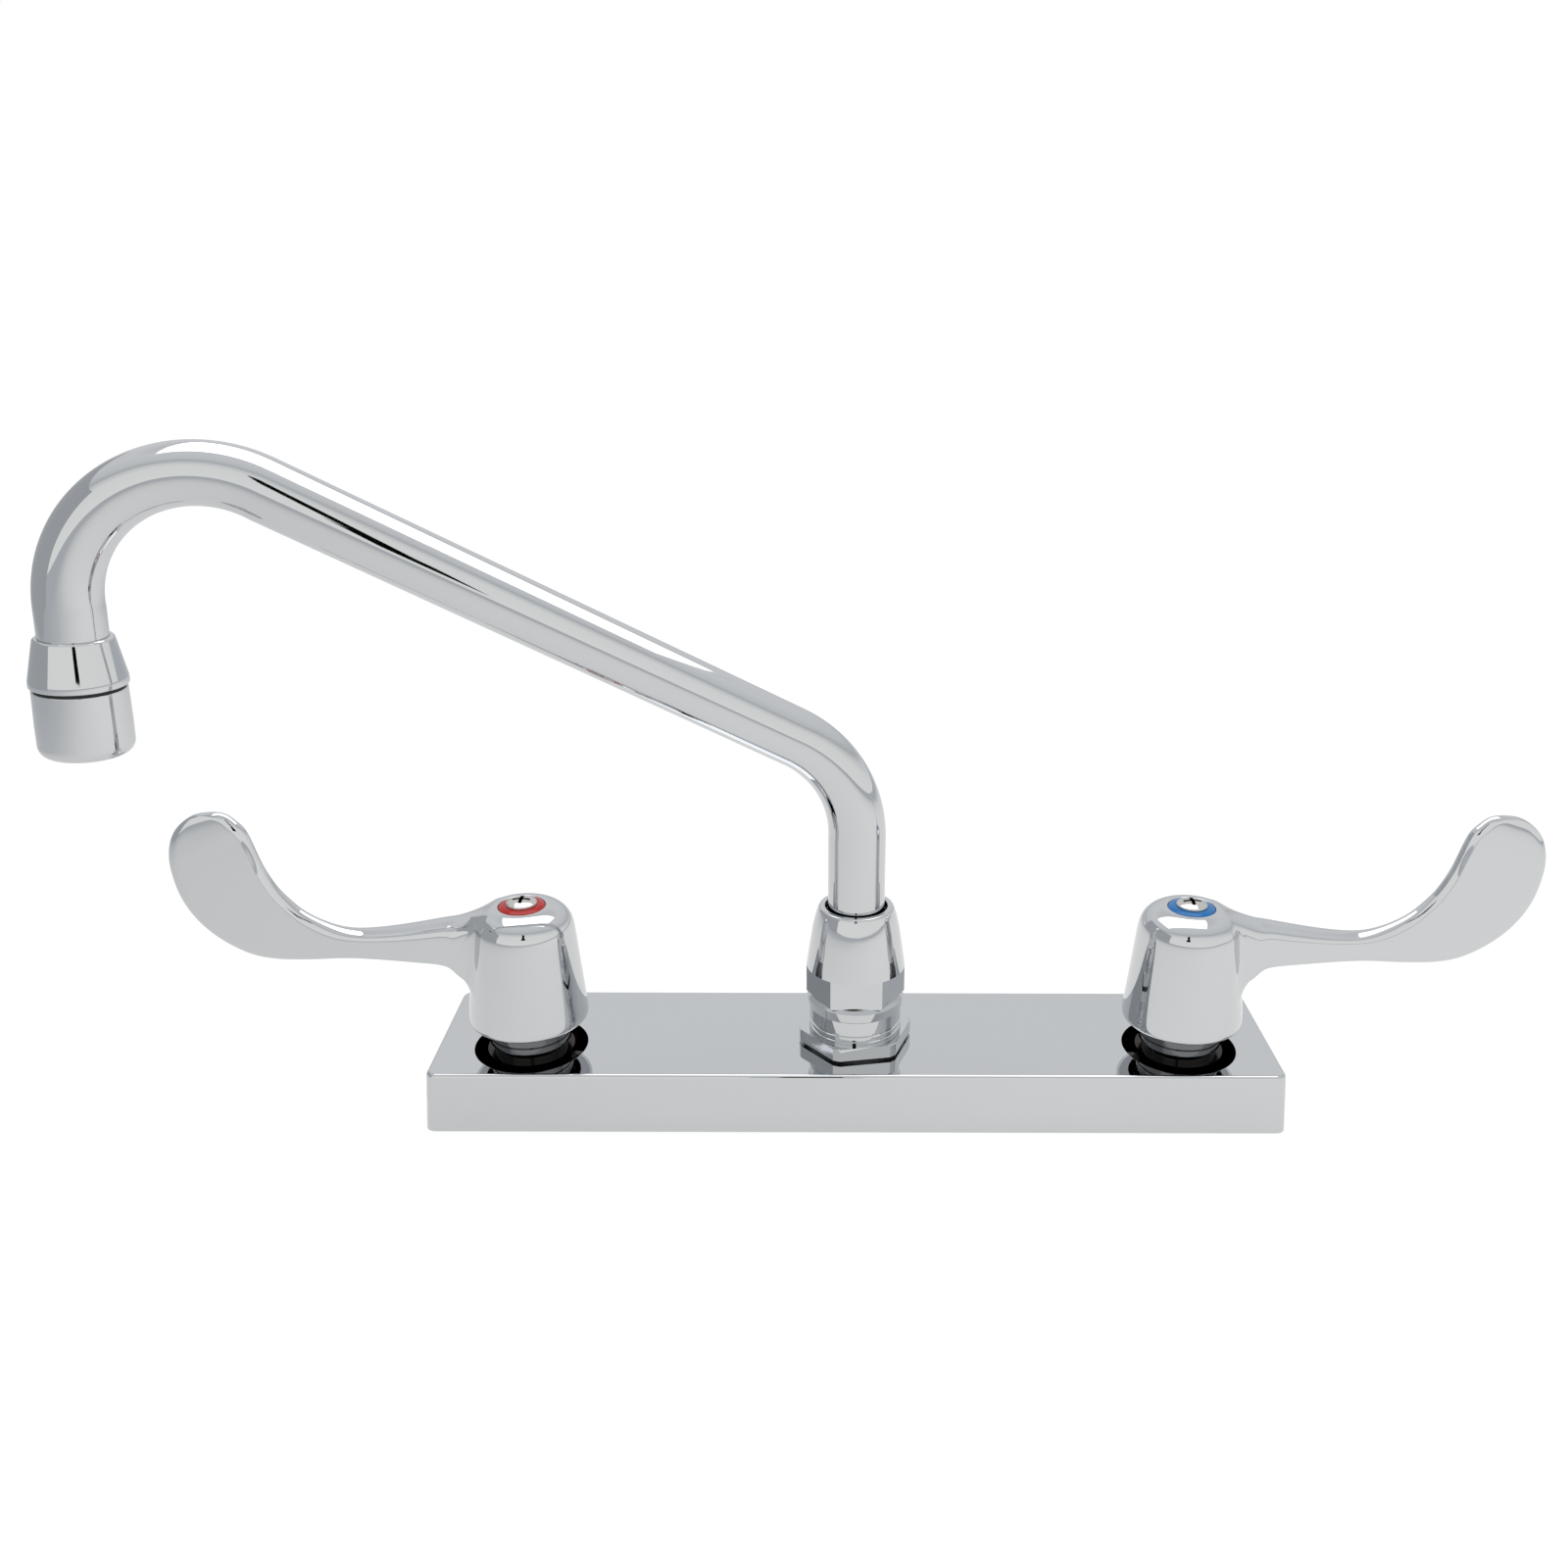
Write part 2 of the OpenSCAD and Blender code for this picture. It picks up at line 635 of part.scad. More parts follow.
module stem(side) {
  groove_r = stem_oring_centre - stem_oring_r;
  color(brass_colour) at_valve(side) difference() {
    union() {
      turned([[0, stem_foot_z], [stem_foot_r, stem_foot_z], [stem_foot_r, stem_foot_z + stem_foot_t],
        [stem_r, stem_foot_z + stem_foot_t], [stem_r, stem_oring_z - stem_oring_r],
        [groove_r, stem_oring_z - stem_oring_r], [groove_r, stem_oring_z + stem_oring_r],
        [stem_r, stem_oring_z + stem_oring_r], [stem_r, stem_shoulder_z], [0, stem_shoulder_z]]);
      splines(spline_side, stem_shoulder_z - overrun, stem_top_z);
    }
    bore(screw_r + screw_fit, stem_top_z - screw_depth - overrun, stem_top_z + overrun);
  }
}

module stem_oring(side) {
  color(rubber_colour) at_valve(side) seal_ring(stem_oring_centre, stem_oring_r, stem_oring_z);
}

// Fixings under the deck
module deck_washer(side) {
  color(rubber_colour) at_valve(side)
    ring(deck_washer_r, shank_r + loose_fit, -deck_thickness - deck_washer_t, -deck_thickness);
}

module friction_washer(side) {
  color(steel_colour) at_valve(side)
    ring(deck_washer_r - friction_washer_t, shank_r + loose_fit,
      mounting_nut_top, mounting_nut_top + friction_washer_t);
}

module mounting_nut(side) {
  color(brass_colour) at_valve(side) difference() {
    union() {
      hex_prism(mounting_nut_flats, mounting_nut_top - mounting_nut_h, mounting_nut_top - nut_flange_t);
      bore(mounting_nut_flats / 2 + nut_flange_t, mounting_nut_top - 2 * nut_flange_t, mounting_nut_top);
    }
    bore(shank_r + thread_fit, mounting_nut_top - mounting_nut_h - overrun, mounting_nut_top + overrun);
  }
}

// Spout fixings on the plate
module locknut_gasket() {
  color(rubber_colour) at_spout()
    ring(locknut_flats / 2, post_thread_r + loose_fit, plate_top, locknut_foot);
}

module spout_locknut() {
  color(chrome_colour) at_spout() rotate([0, 0, locknut_turn]) difference() {
    intersection() {
      hex_prism(locknut_flats, locknut_foot, locknut_foot + locknut_h);
      bore(locknut_corner_d / 2, locknut_foot, locknut_foot + locknut_h);
    }
    bore(post_thread_r + thread_fit, locknut_foot - overrun, locknut_foot + locknut_h + overrun);
  }
}

// The nut narrows in a slight curve: radius and height as shares from rim to band and from band to top
nut_cone_shares = [[0.82, 0.24], [0.65, 0.45], [0.47, 0.66], [0.22, 0.86]];

module swivel_nut() {
  band_r = nut_band_d / 2;
  rim_r = nut_rim_d / 2;
  rim_edge = 0.6;
  band_low = nut_foot + nut_band_low;
  band_high = band_low + nut_band_h;
  foot_r = post_thread_r - rim_edge;
  color(chrome_colour) at_spout() difference() {
    turned(concat(
      [[0, nut_foot], [foot_r, nut_foot], [post_thread_r, nut_foot + rim_edge],
        [band_r, band_low], [band_r, band_high]],
      [for (s = nut_cone_shares) [rim_r + s[0] * (band_r - rim_r), band_high + s[1] * (nut_top - band_high)]],
      [[rim_r, nut_top - rim_edge], [rim_r - rim_edge, nut_top], [0, nut_top]]));
    for (i = [0:5]) rotate([0, 0, 60 * i]) translate([-band_r, nut_flats / 2, nut_foot - overrun])
      cube([nut_band_d, band_r, band_high - nut_foot + overrun]);
    bore(nut_bore_r, nut_foot - overrun, thrust_top);
    bore(tube_r + loose_fit, thrust_top - overrun, nut_top + overrun);
  }
}

module bearing_washer() {
  color(nylon_colour) at_spout()
    ring(post_upper_r - running_fit, post_bore_r + running_fit, post_top, flange_foot);
}

module thrust_ring() {
  color(nylon_colour) at_spout() ring(post_upper_r - running_fit, tube_r + loose_fit, flange_top, thrust_top);
}

// Swinging spout
// The straights run a little way into the bends, which are a touch wider
module tube_route(r, past_end) {
  bend_section_r = r + bend_swell;
  bore(r, tube_seat_z - past_end, bend_foot + overrun);
  translate([post_bend_r, 0, bend_foot]) rotate([90, 0, 180])
    rotate_extrude(angle = 90 - rise_angle) translate([post_bend_r, 0]) circle(bend_section_r);
  translate([post_bend_run, 0, straight_foot_z]) rotate([0, 90 - rise_angle, 0])
    bore(r, -overrun, straight_length + overrun);
  translate([outlet_centre_x, 0, outlet_centre_z]) rotate([90, 0, 0]) rotate([0, 0, outlet_lean])
    rotate_extrude(angle = 90 + rise_angle - outlet_lean) translate([outlet_bend_r, 0])
      circle(bend_section_r);
  translate([outlet_x, 0, outlet_z]) rotate([0, -outlet_lean, 0]) bore(r, tube_end_z - past_end, overrun);
}

module spout_tube() {
  color(chrome_colour) along_spout() difference() {
    tube_route(tube_r, 0);
    tube_route(tube_bore_r, overrun);
  }
}

module spout_sleeve() {
  groove_r = oring_centre_r - oring_r;
  color(brass_colour) at_spout() difference() {
    turned([[sleeve_bore_r, sleeve_foot], [sleeve_r, sleeve_foot],
      [sleeve_r, lower_oring_z - oring_r], [groove_r, lower_oring_z - oring_r],
      [groove_r, lower_oring_z + oring_r], [sleeve_r, lower_oring_z + oring_r],
      [sleeve_r, upper_oring_z - oring_r], [groove_r, upper_oring_z - oring_r],
      [groove_r, upper_oring_z + oring_r], [sleeve_r, upper_oring_z + oring_r],
      [sleeve_r, flange_foot], [flange_r, flange_foot], [flange_r, flange_top], [sleeve_bore_r, flange_top]]);
    bore(tube_r + thread_fit, tube_seat_z, flange_top + overrun);
  }
}

module spout_oring(level) {
  color(rubber_colour) at_spout() seal_ring(oring_centre_r, oring_r, level);
}

// Aerator
module aerator_collar() {
  top_r = collar_top_d / 2;
  foot_r = collar_foot_d / 2;
  color(chrome_colour) at_outlet() difference() {
    turned([[0, collar_top_z], [top_r - collar_lip, collar_top_z], [top_r, collar_top_z - collar_lip],
      [foot_r, collar_foot_z + 2 * collar_lip], [foot_r, collar_foot_z + collar_lip],
      [foot_r - collar_lip, collar_foot_z], [collar_neck_r, collar_foot_z], [collar_neck_r, neck_foot_z],
      [0, neck_foot_z]]);
    bore(tube_r + thread_fit, tube_end_z, collar_top_z + overrun);
    bore(collar_bore_r, neck_foot_z - overrun, tube_end_z + overrun);
  }
}

module aerator_ring() {
  color(rubber_colour) at_outlet()
    ring(housing_top_r - collar_lip / 2, housing_thread_r, ring_foot_z, collar_foot_z);
}

module aerator_housing() {
  side_r = housing_d / 2;
  belly_z = ring_foot_z - housing_height / 2;
  color(chrome_colour) at_outlet() difference() {
    turned(concat([[0, ring_foot_z], [housing_top_r, ring_foot_z], [side_r, belly_z]],
      [for (turn = [0:15:90])
        [side_r - housing_edge * (1 - cos(turn)), housing_foot_z + housing_edge * (1 - sin(turn))]],
      [[0, housing_foot_z]]));
    bore(housing_thread_r, housing_foot_z + housing_lip_t, ring_foot_z + overrun);
    bore(housing_lip_r, housing_foot_z - overrun, ring_foot_z);
  }
}

module aerator_washer() {
  color(rubber_colour) at_outlet() ring(insert_r, collar_bore_r, insert_top_z, neck_foot_z);
}

module aerator_insert() {
  jet_r = 0.9;
  outer_jets_share = 0.7;
  inner_jets_share = 0.35;
  color(nylon_colour) at_outlet() difference() {
    bore(insert_r, insert_foot_z, insert_top_z);
    for (i = [0:11]) rotate([0, 0, 30 * i]) translate([insert_r * outer_jets_share, 0, 0])
      bore(jet_r, insert_foot_z - overrun, insert_top_z + overrun);
    for (i = [0:5]) rotate([0, 0, 60 * i]) translate([insert_r * inner_jets_share, 0, 0])
      bore(jet_r, insert_foot_z - overrun, insert_top_z + overrun);
  }
}

module aerator_screen() {
  mesh_gap = 1.6;
  mesh_bar = 0.5;
  mesh_pitch = mesh_gap + mesh_bar;
  rim = 1.4;
  half = floor((insert_r - rim) / mesh_pitch);
  color(steel_colour) at_outlet() translate([0, 0, housing_foot_z + housing_lip_t]) linear_extrude(screen_t)
    difference() {
      circle(insert_r);
      for (i = [-half:half]) for (j = [-half:half])
        if (norm([abs(i) + 0.5, abs(j) + 0.5]) * mesh_pitch < insert_r - rim)
          translate([i * mesh_pitch, j * mesh_pitch]) square(mesh_gap, center = true);
    }
}

// Handles
module hub_section() {
  shoulder_z = hub_top_z - hub_shoulder_r;
  polygon([[0, hub_foot_z], [hub_foot_r - hub_foot_edge, hub_foot_z],
    [hub_foot_r, hub_foot_z + hub_foot_edge], [hub_side_r, shoulder_z], [0, shoulder_z]]);
  translate([0, shoulder_z]) square([hub_side_r - hub_shoulder_r, hub_shoulder_r]);
  translate([hub_side_r - hub_shoulder_r, shoulder_z]) circle(hub_shoulder_r);
}

module handle(side) {
  color(chrome_colour) at_valve(side) difference() {
    union() {
      rotate_extrude() hub_section();
      polyhedron(lever_points, lever_faces);
    }
    bore(hub_hollow_d / 2, hub_foot_z - overrun, hub_foot_z + hollow_depth);
    splines(spline_side + spline_fit, hub_foot_z, stem_top_z);
    bore(screw_r + loose_fit, stem_top_z - overrun, hub_top_z + overrun);
    bore(index_d / 2 + running_fit, hub_top_z - index_seat, hub_top_z + overrun);
  }
}

module index_ring(side, colour) {
  low = hub_top_z - index_seat;
  high = hub_top_z + index_proud;
  color(colour) at_valve(side) turned([[index_bore_d / 2, low], [index_d / 2, low],
    [index_d / 2, high - index_proud / 2], [index_d / 2 - index_proud, high], [index_bore_d / 2, high]]);
}

module handle_screw(side) {
  seat = hub_top_z - index_seat;
  head_r = screw_head_d / 2;
  head_side = 2.2;
  dome = 0.9;
  dome_r = (head_r * head_r + dome * dome) / (2 * dome);
  cross_w = 0.9;
  cross_l = 4.4;
  cross_depth = 1.6;
  color(steel_colour) at_valve(side) difference() {
    union() {
      bore(screw_r, stem_top_z - screw_depth, seat + head_side);
      intersection() {
        bore(head_r, seat, seat + head_side + 2 * dome);
        translate([0, 0, seat + head_side + dome - dome_r]) sphere(dome_r);
      }
    }
    for (turn = [0, 90]) rotate([0, 0, turn])
      translate([-cross_l / 2, -cross_w / 2, seat + head_side + dome - cross_depth])
        cube([cross_l, cross_w, cross_depth]);
  }
}

cover_plate();
base_gasket();
centre_body();
cross_tube(hot);  // hot_cross_tube
cross_tube(cold);  // cold_cross_tube
valve_body(hot);  // hot_valve_body
valve_body(cold);  // cold_valve_body
bonnet(hot);  // hot_bonnet
bonnet(cold);  // cold_bonnet
cartridge_shell(hot);  // hot_cartridge_shell
cartridge_shell(cold);  // cold_cartridge_shell
seat_seal(hot);  // hot_seat_seal
seat_seal(cold);  // cold_seat_seal
fixed_disc(hot);  // hot_fixed_disc
fixed_disc(cold);  // cold_fixed_disc
bonnet_oring(hot);  // hot_bonnet_oring
bonnet_oring(cold);  // cold_bonnet_oring
stem_washer(hot);  // hot_stem_washer
stem_washer(cold);  // cold_stem_washer
deck_washer(hot);  // hot_deck_washer
deck_washer(cold);  // cold_deck_washer
friction_washer(hot);  // hot_friction_washer
friction_washer(cold);  // cold_friction_washer
mounting_nut(hot);  // hot_mounting_nut
mounting_nut(cold);  // cold_mounting_nut
spout_locknut();
locknut_gasket();
swivel_nut();
bearing_washer();
thrust_ring();
spout_tube();
spout_sleeve();
spout_oring(upper_oring_z);  // upper_spout_oring
spout_oring(lower_oring_z);  // lower_spout_oring
aerator_collar();
aerator_ring();
aerator_housing();
aerator_washer();
aerator_insert();
aerator_screen();
handle(hot);  // hot_handle
handle(cold);  // cold_handle
index_ring(hot, red_colour);  // hot_index_ring
index_ring(cold, blue_colour);  // cold_index_ring
handle_screw(hot);  // hot_handle_screw
handle_screw(cold);  // cold_handle_screw
stem(hot);  // hot_stem
stem(cold);  // cold_stem
moving_disc(hot);  // hot_moving_disc
moving_disc(cold);  // cold_moving_disc
stem_oring(hot);  // hot_stem_oring
stem_oring(cold);  // cold_stem_oring
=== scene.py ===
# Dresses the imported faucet: camera, soft studio, finishes, and the pieces that show as polished metal.
# Sizes in the property groups are real ones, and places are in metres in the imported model's frame.
import json
import math

import bmesh
import bpy
from bpy.props import FloatProperty, IntProperty, PointerProperty, StringProperty
from mathutils import Matrix, Vector


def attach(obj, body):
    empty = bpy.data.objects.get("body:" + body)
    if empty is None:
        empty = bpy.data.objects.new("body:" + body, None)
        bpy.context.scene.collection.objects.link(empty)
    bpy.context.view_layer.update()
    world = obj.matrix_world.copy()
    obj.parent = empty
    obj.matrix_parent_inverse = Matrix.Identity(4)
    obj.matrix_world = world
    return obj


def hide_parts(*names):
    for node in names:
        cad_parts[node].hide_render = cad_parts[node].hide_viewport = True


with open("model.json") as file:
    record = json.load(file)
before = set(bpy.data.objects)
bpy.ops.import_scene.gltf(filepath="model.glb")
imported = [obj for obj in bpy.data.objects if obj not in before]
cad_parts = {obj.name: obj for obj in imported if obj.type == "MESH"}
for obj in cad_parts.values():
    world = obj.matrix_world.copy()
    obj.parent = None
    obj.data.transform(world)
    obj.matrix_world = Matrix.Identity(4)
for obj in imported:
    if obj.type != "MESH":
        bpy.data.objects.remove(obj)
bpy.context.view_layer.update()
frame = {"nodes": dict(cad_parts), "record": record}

bl_info = {
    "name": "Deck faucet dresser",
    "version": (1, 0, 0),
    "blender": (4, 5, 0),
    "location": "View3D > Sidebar > Faucet",
    "description": "Builds the shown pieces, finishes and studio of a deck mount swing spout faucet",
    "category": "Object",
}

MM = 0.001
SIDES = {"hot": -1, "cold": 1}
# In metres: points nearer than MERGE become one, and measures nearer than CLOSE are taken as equal
MERGE = 1e-7
CLOSE = 1e-6


# Sizes and colours that a user would change


def length_prop(name, about, millimetres):
    """A length in a property group, given in millimetres"""
    return FloatProperty(name=name, description=about, default=millimetres * MM, min=0.0, max=1.0,
                         subtype="DISTANCE", unit="LENGTH", precision=5)


def angle_prop(name, about, degrees):
    """An angle in a property group, given in degrees"""
    return FloatProperty(name=name, description=about, default=math.radians(degrees), subtype="ANGLE",
                         unit="ROTATION")


def paint_prop(name, about, hexcode):
    """A colour in a property group, given as an sRGB hex value"""
    return StringProperty(name=name, description=about, default=hexcode, maxlen=7)


class FaucetLayout(bpy.types.PropertyGroup):
    """Where the valves and the spout stand"""

    valve_x: length_prop("Valve distance", "Distance from the middle of the plate to each valve", 101.6)
    valve_y: length_prop("Valve line", "How far the valve line stands in front of the plate's middle", 8)
    spout_y: length_prop("Spout line", "How far the spout axis stands in front of the plate's middle", 3)
    plate_top: length_prop("Plate top", "Height of the plate's top above the deck", 19)
    round_sides: IntProperty(name="Sides of a round", description="Facets round a turned piece", default=128,
                             min=24, max=192)


class FaucetPlate(bpy.types.PropertyGroup):
    """Sizes of the cover plate"""

    length: length_prop("Length", "Length at the foot", 263.6)
    depth: length_prop("Depth", "Depth at the foot", 56)
    wall: length_prop("Wall", "Thickness of the walls and the top", 2.6)
    lean: length_prop("Lean", "How far each wall leans in between foot and top", 1.1)
    corner: length_prop("Corner", "Radius of the upright corners", 3.2)
    edge: length_prop("Edge", "Radius of the top edge", 1.2)
    valve_hole: length_prop("Valve hole", "Radius of the hole round each valve", 17.5)
    post_hole: length_prop("Post hole", "Radius of the hole round the post", 14.6)
    rim: length_prop("Hole rim", "Rounding of the valve holes' rims", 0.25)


class FaucetSpout(bpy.types.PropertyGroup):
    """Sizes of the swinging spout"""

    radius: length_prop("Tube radius", "Outer radius of the tube", 8.73)
    wall: length_prop("Tube wall", "Wall of the tube", 1.2)
    turn: angle_prop("Turn", "Angle between the spout at rest and the plate's length", 9.2)
    rise: angle_prop("Rise", "Slope of the straight run above level", 28.2)
    lean: angle_prop("Outlet lean", "Lean of the outlet away from the post", 2.5)
    foot: length_prop("Foot", "Level of the tube's lower end", 30)
    bend_foot: length_prop("Bend foot", "Level where the tube starts to bend", 87.4)
    post_bend: length_prop("Post bend", "Bend radius above the post", 37.4)
    outlet_bend: length_prop("Outlet bend", "Bend radius above the outlet", 35.35)
    outlet_drop: length_prop("Outlet drop", "Straight tube between the outlet bend and the collar", 7.6)
    collar_grip: length_prop("Collar grip", "How far the tube reaches into the collar", 8.5)
    reach: length_prop("Reach", "Distance from the spout axis to the middle of the mouth", 212)
    mouth_depth: length_prop("Mouth depth", "Distance from the outlet bend's end to the mouth", 39.8)
    flattening: FloatProperty(name="Flattening", description="Share of its width lost in a bend",
                              default=0.05, min=0.0, max=0.15)


class FaucetHandle(bpy.types.PropertyGroup):
    """Sizes of the wrist blade handles"""

    foot: length_prop("Foot", "Level of the hub's foot", 29)
    top: length_prop("Top", "Level of the hub's top", 66)
    foot_radius: length_prop("Foot radius", "Radius of the hub at its foot", 18.35)
    side_radius: length_prop("Shoulder radius", "Radius of the hub below its rounded shoulder", 15.6)
    shoulder: length_prop("Shoulder rounding", "Radius of the rounded shoulder", 8.1)
    hollow: length_prop("Hollow radius", "Radius of the hollow in the hub's foot", 14.6)
    hollow_depth: length_prop("Hollow depth", "Depth of the hollow in the hub's foot", 15)
    bore: length_prop("Bore", "Radius of the bore round the stem", 4.5)
    crown: length_prop("Crown", "Height of the crown round the index ring above the hub's top", 0.75)
    seat: length_prop("Ring seat", "Radius of the seat of the index ring", 7.15)
    seat_depth: length_prop("Seat depth", "Depth of the seat of the index ring", 1.4)


class FaucetIndexes(bpy.types.PropertyGroup):
    """Sizes of the index rings and screws, with levels measured up from the rings' seat"""

    ring_gap: length_prop("Ring gap", "Gap between the ring and the side of its seat", 0.07)
    ring_side: length_prop("Ring side", "Level of the ring's outer edge", 1.25)
    ring_top: length_prop("Ring top", "Level of the ring's inner edge", 1.75)
    head: length_prop("Screw head", "Radius of the screw's head", 4.7)
    shank: length_prop("Screw shank", "Radius of the screw's shank", 1.8)
    shank_depth: length_prop("Shank depth", "Depth of the shank below the rings' seat", 9)
    slot_reach: length_prop("Slot reach", "Half the length of each slot of the cross", 2.7)
    slot_half: length_prop("Slot half width", "Half the width of each slot of the cross", 0.56)
    slot_floor: length_prop("Slot floor", "Level of the floor of the cross", 1.9)


class FaucetNuts(bpy.types.PropertyGroup):
    """Sizes of the swivel nut and the locknut at the post's foot"""

    foot: length_prop("Foot", "Level of the swivel nut's foot", 31.5)
    band_foot: length_prop("Band foot", "Level where the band with the flats starts", 35.6)
    band_top: length_prop("Band top", "Level where the cone starts", 45.1)
    top: length_prop("Top", "Level of the swivel nut's rim", 65)
    skirt: length_prop("Skirt", "Radius of the short skirt at the swivel nut's foot", 14.6)
    undercut: length_prop("Undercut", "Radius of the undercut below the flats", 14.1)
    band_radius: length_prop("Band radius", "Radius over the corners", 15.3)
    gap_radius: length_prop("Gap radius", "Radius of the open gap round the tube", 9.6)
    bore: length_prop("Bore", "Radius of the bore round the post", 11.95)
    across: length_prop("Across flats", "Width of the swivel nut across its flats", 26.8)
    lock_foot: length_prop("Locknut foot", "Level of the locknut's foot", 19.9)
    lock_top: length_prop("Locknut top", "Level of the locknut's top", 24)
    lock_across: length_prop("Locknut across flats", "Width of the locknut across its flats", 31.75)
    lock_bore: length_prop("Locknut bore", "Radius of the bore of the locknut", 14.35)
    lock_turn: angle_prop("Locknut turn", "Turn of the locknut from square", 10.3)


class FaucetAerator(bpy.types.PropertyGroup):
    """Sizes of the aerator at the spout's end, with levels measured down from the outlet bend"""

    collar_top: length_prop("Collar top", "Radius of the collar at its top", 9.85)
    collar_foot: length_prop("Collar foot", "Radius of the collar at its foot", 12.3)
    collar_height: length_prop("Collar height", "Height of the flared collar", 13.0)
    line: length_prop("Black line", "Height of the black line between collar and housing", 0.95)
    neck: length_prop("Neck", "Radius of the collar's threaded neck inside the housing", 10.4)
    neck_depth: length_prop("Neck depth", "Depth of the neck below the outlet bend", 26.7)
    water_way: length_prop("Water way", "Radius of the water way through the neck", 7.2)
    housing_top: length_prop("Housing top", "Radius of the housing at its top", 11.8)
    housing_side: length_prop("Housing side", "Widest radius of the housing", 12.05)
    housing_edge: length_prop("Housing edge", "Rounding of the housing's foot", 3.2)
    mouth: length_prop("Mouth", "Radius of the open mouth", 9.2)
    lip: length_prop("Lip", "Thickness of the lip round the mouth", 1.6)


class FaucetColours(bpy.types.PropertyGroup):
    """Colours of the finishes, as sRGB hex values"""

    chrome: paint_prop("Chrome", "Polished chrome plate", "#CFD1D3")
    brass: paint_prop("Brass", "Machined brass", "#C9A866")
    # Painted shade: brass darkened to near black for the valve bodies in the plate's holes and the screws'
    # crosses, where shade falls
    recess_shade: paint_prop("Cast brass", "Raw cast brass in the plate's holes, dark with age", "#3B3733")
    # Partly the dull colour of unplated metal, partly painted shade: near black for the shaded hollow under
    # the cover
    raw_inside_and_shade: paint_prop("Raw inside", "Unplated inner side of the cover plate", "#1B1A1A")
    # Painted shade: nickel darkened for the shade under the handles
    bonnet_shade: paint_prop("Aged nickel", "Darkened nickel plate on the bonnets, in the handles' shade", "#77787A")
    nickel: paint_prop("Nickel", "Nickel plate on the screws", "#D9D8D4")
    copper: paint_prop("Copper", "Drawn copper", "#C98A68")
    steel: paint_prop("Steel", "Stainless steel", "#C2C2C0")
    rubber: paint_prop("Rubber", "Black rubber", "#17171A")
    nylon: paint_prop("Nylon", "Natural nylon", "#E3E0D5")
    ceramic: paint_prop("Ceramic", "Lapped white ceramic", "#ECEAE4")
    red: paint_prop("Hot index", "Red moulded plastic", "#B4140D")
    blue: paint_prop("Cold index", "Blue moulded plastic", "#0A6CAF")
    floor: paint_prop("Floor", "Pale studio floor", "#F4F4F4")


# Finishes

# Nearly all values of a noise lie between these two
NOISE_SWING = {"From Min": 0.35, "From Max": 0.65}
# Real tool marks lie about 0.1 mm apart, too fine to show, so they are drawn this coarse
LATHE_MM = 0.35
LATHE_HEIGHT_MM = 0.03
# Rings round the lathe's axis: the noise is drawn out sideways by this scale
LATHE_STRETCH = (0.08, 0.08, 1.0)
# Handling leaves faint smears on chrome, this far apart
SMEAR_MM = 9
# Share of a finish's colour that its noise leaves at the darkest, on turned metal and on a moulded skin
TURNED_SHADE = 0.82
MOULDED_SHADE = 0.88
# Finish of each slot of the record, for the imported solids
SLOT_FINISH = {
    "chrome_plating": "chrome_plate_cast",
    "plain_brass": "turned_brass",
    "copper_tube": "drawn_copper",
    "steel": "stainless_steel",
    "black_rubber": "black_nitrile_rubber",
    "nylon": "natural_nylon",
    "ceramic": "lapped_ceramic",
    "red_index": "red_index_plastic",
    "blue_index": "blue_index_plastic",
}
# Imported solids whose finish isn't their slot's: the valve bodies and the bonnets, darkened as painted shade
SPECIAL_FINISH = {"valve_body": "recess_painted_shade", "bonnet": "nickel_plate_painted_shade"}


def linear(hexcode, share=1.0):
    """A colour for a shader socket from its sRGB hex value, darkened to a share of its light"""
    channels = [int(hexcode[i:i + 2], 16) / 255 for i in (1, 3, 5)]
    return [share * (c / 12.92 if c <= 0.04045 else ((c + 0.055) / 1.055) ** 2.4) for c in channels] + [1.0]


def add_node(tree, kind, links=None, values=None, **settings):
    """Adds a node with its settings, its unlinked socket values and its incoming links"""
    node = tree.nodes.new(kind)
    for key, value in settings.items():
        setattr(node, key, value)
    for socket, value in (values or {}).items():
        node.inputs[socket].default_value = value
    for socket, source in (links or {}).items():
        tree.links.new(source, node.inputs[socket])
    return node


def new_material(name):
    """A material with an empty node tree"""
    material = bpy.data.materials.new(name)
    material.use_nodes = True
    material.node_tree.nodes.clear()
    return material


def ripple(tree, place, wave_mm, height_mm, strength, detail):
    """A noise whose waves have a real length, and the bump that it gives"""
    noise = add_node(tree, "ShaderNodeTexNoise", {"Vector": place},
                     {"Scale": 1 / (wave_mm * MM), "Detail": detail, "Roughness": 0.5})
    bump = add_node(tree, "ShaderNodeBump", {"Height": noise.outputs["Fac"]},
                    {"Strength": strength, "Distance": height_mm * MM})
    return noise, bump


def chrome_plate(name, colour, wave_mm, height_mm):
    """Bright nickel chrome plate on polished metal: a near mirror with long soft waves from the polishing"""
    tree = new_material(name).node_tree
    place = add_node(tree, "ShaderNodeTexCoord").outputs["Object"]
    bump = ripple(tree, place, wave_mm, height_mm, strength=1.0, detail=2.0)[1]
    smears = add_node(tree, "ShaderNodeTexNoise", {"Vector": place},
                      {"Scale": 1 / (SMEAR_MM * MM), "Detail": 4.0, "Roughness": 0.6})
    rough = add_node(tree, "ShaderNodeMapRange", {"Value": smears.outputs["Fac"]},
                     {**NOISE_SWING, "To Min": 0.02, "To Max": 0.055})
    shader = add_node(tree, "ShaderNodeBsdfPrincipled",
                      {"Normal": bump.outputs["Normal"], "Roughness": rough.outputs["Result"]},
                      {"Base Color": linear(colour), "Metallic": 1.0})
    add_node(tree, "ShaderNodeOutputMaterial", {"Surface": shader.outputs["BSDF"]})


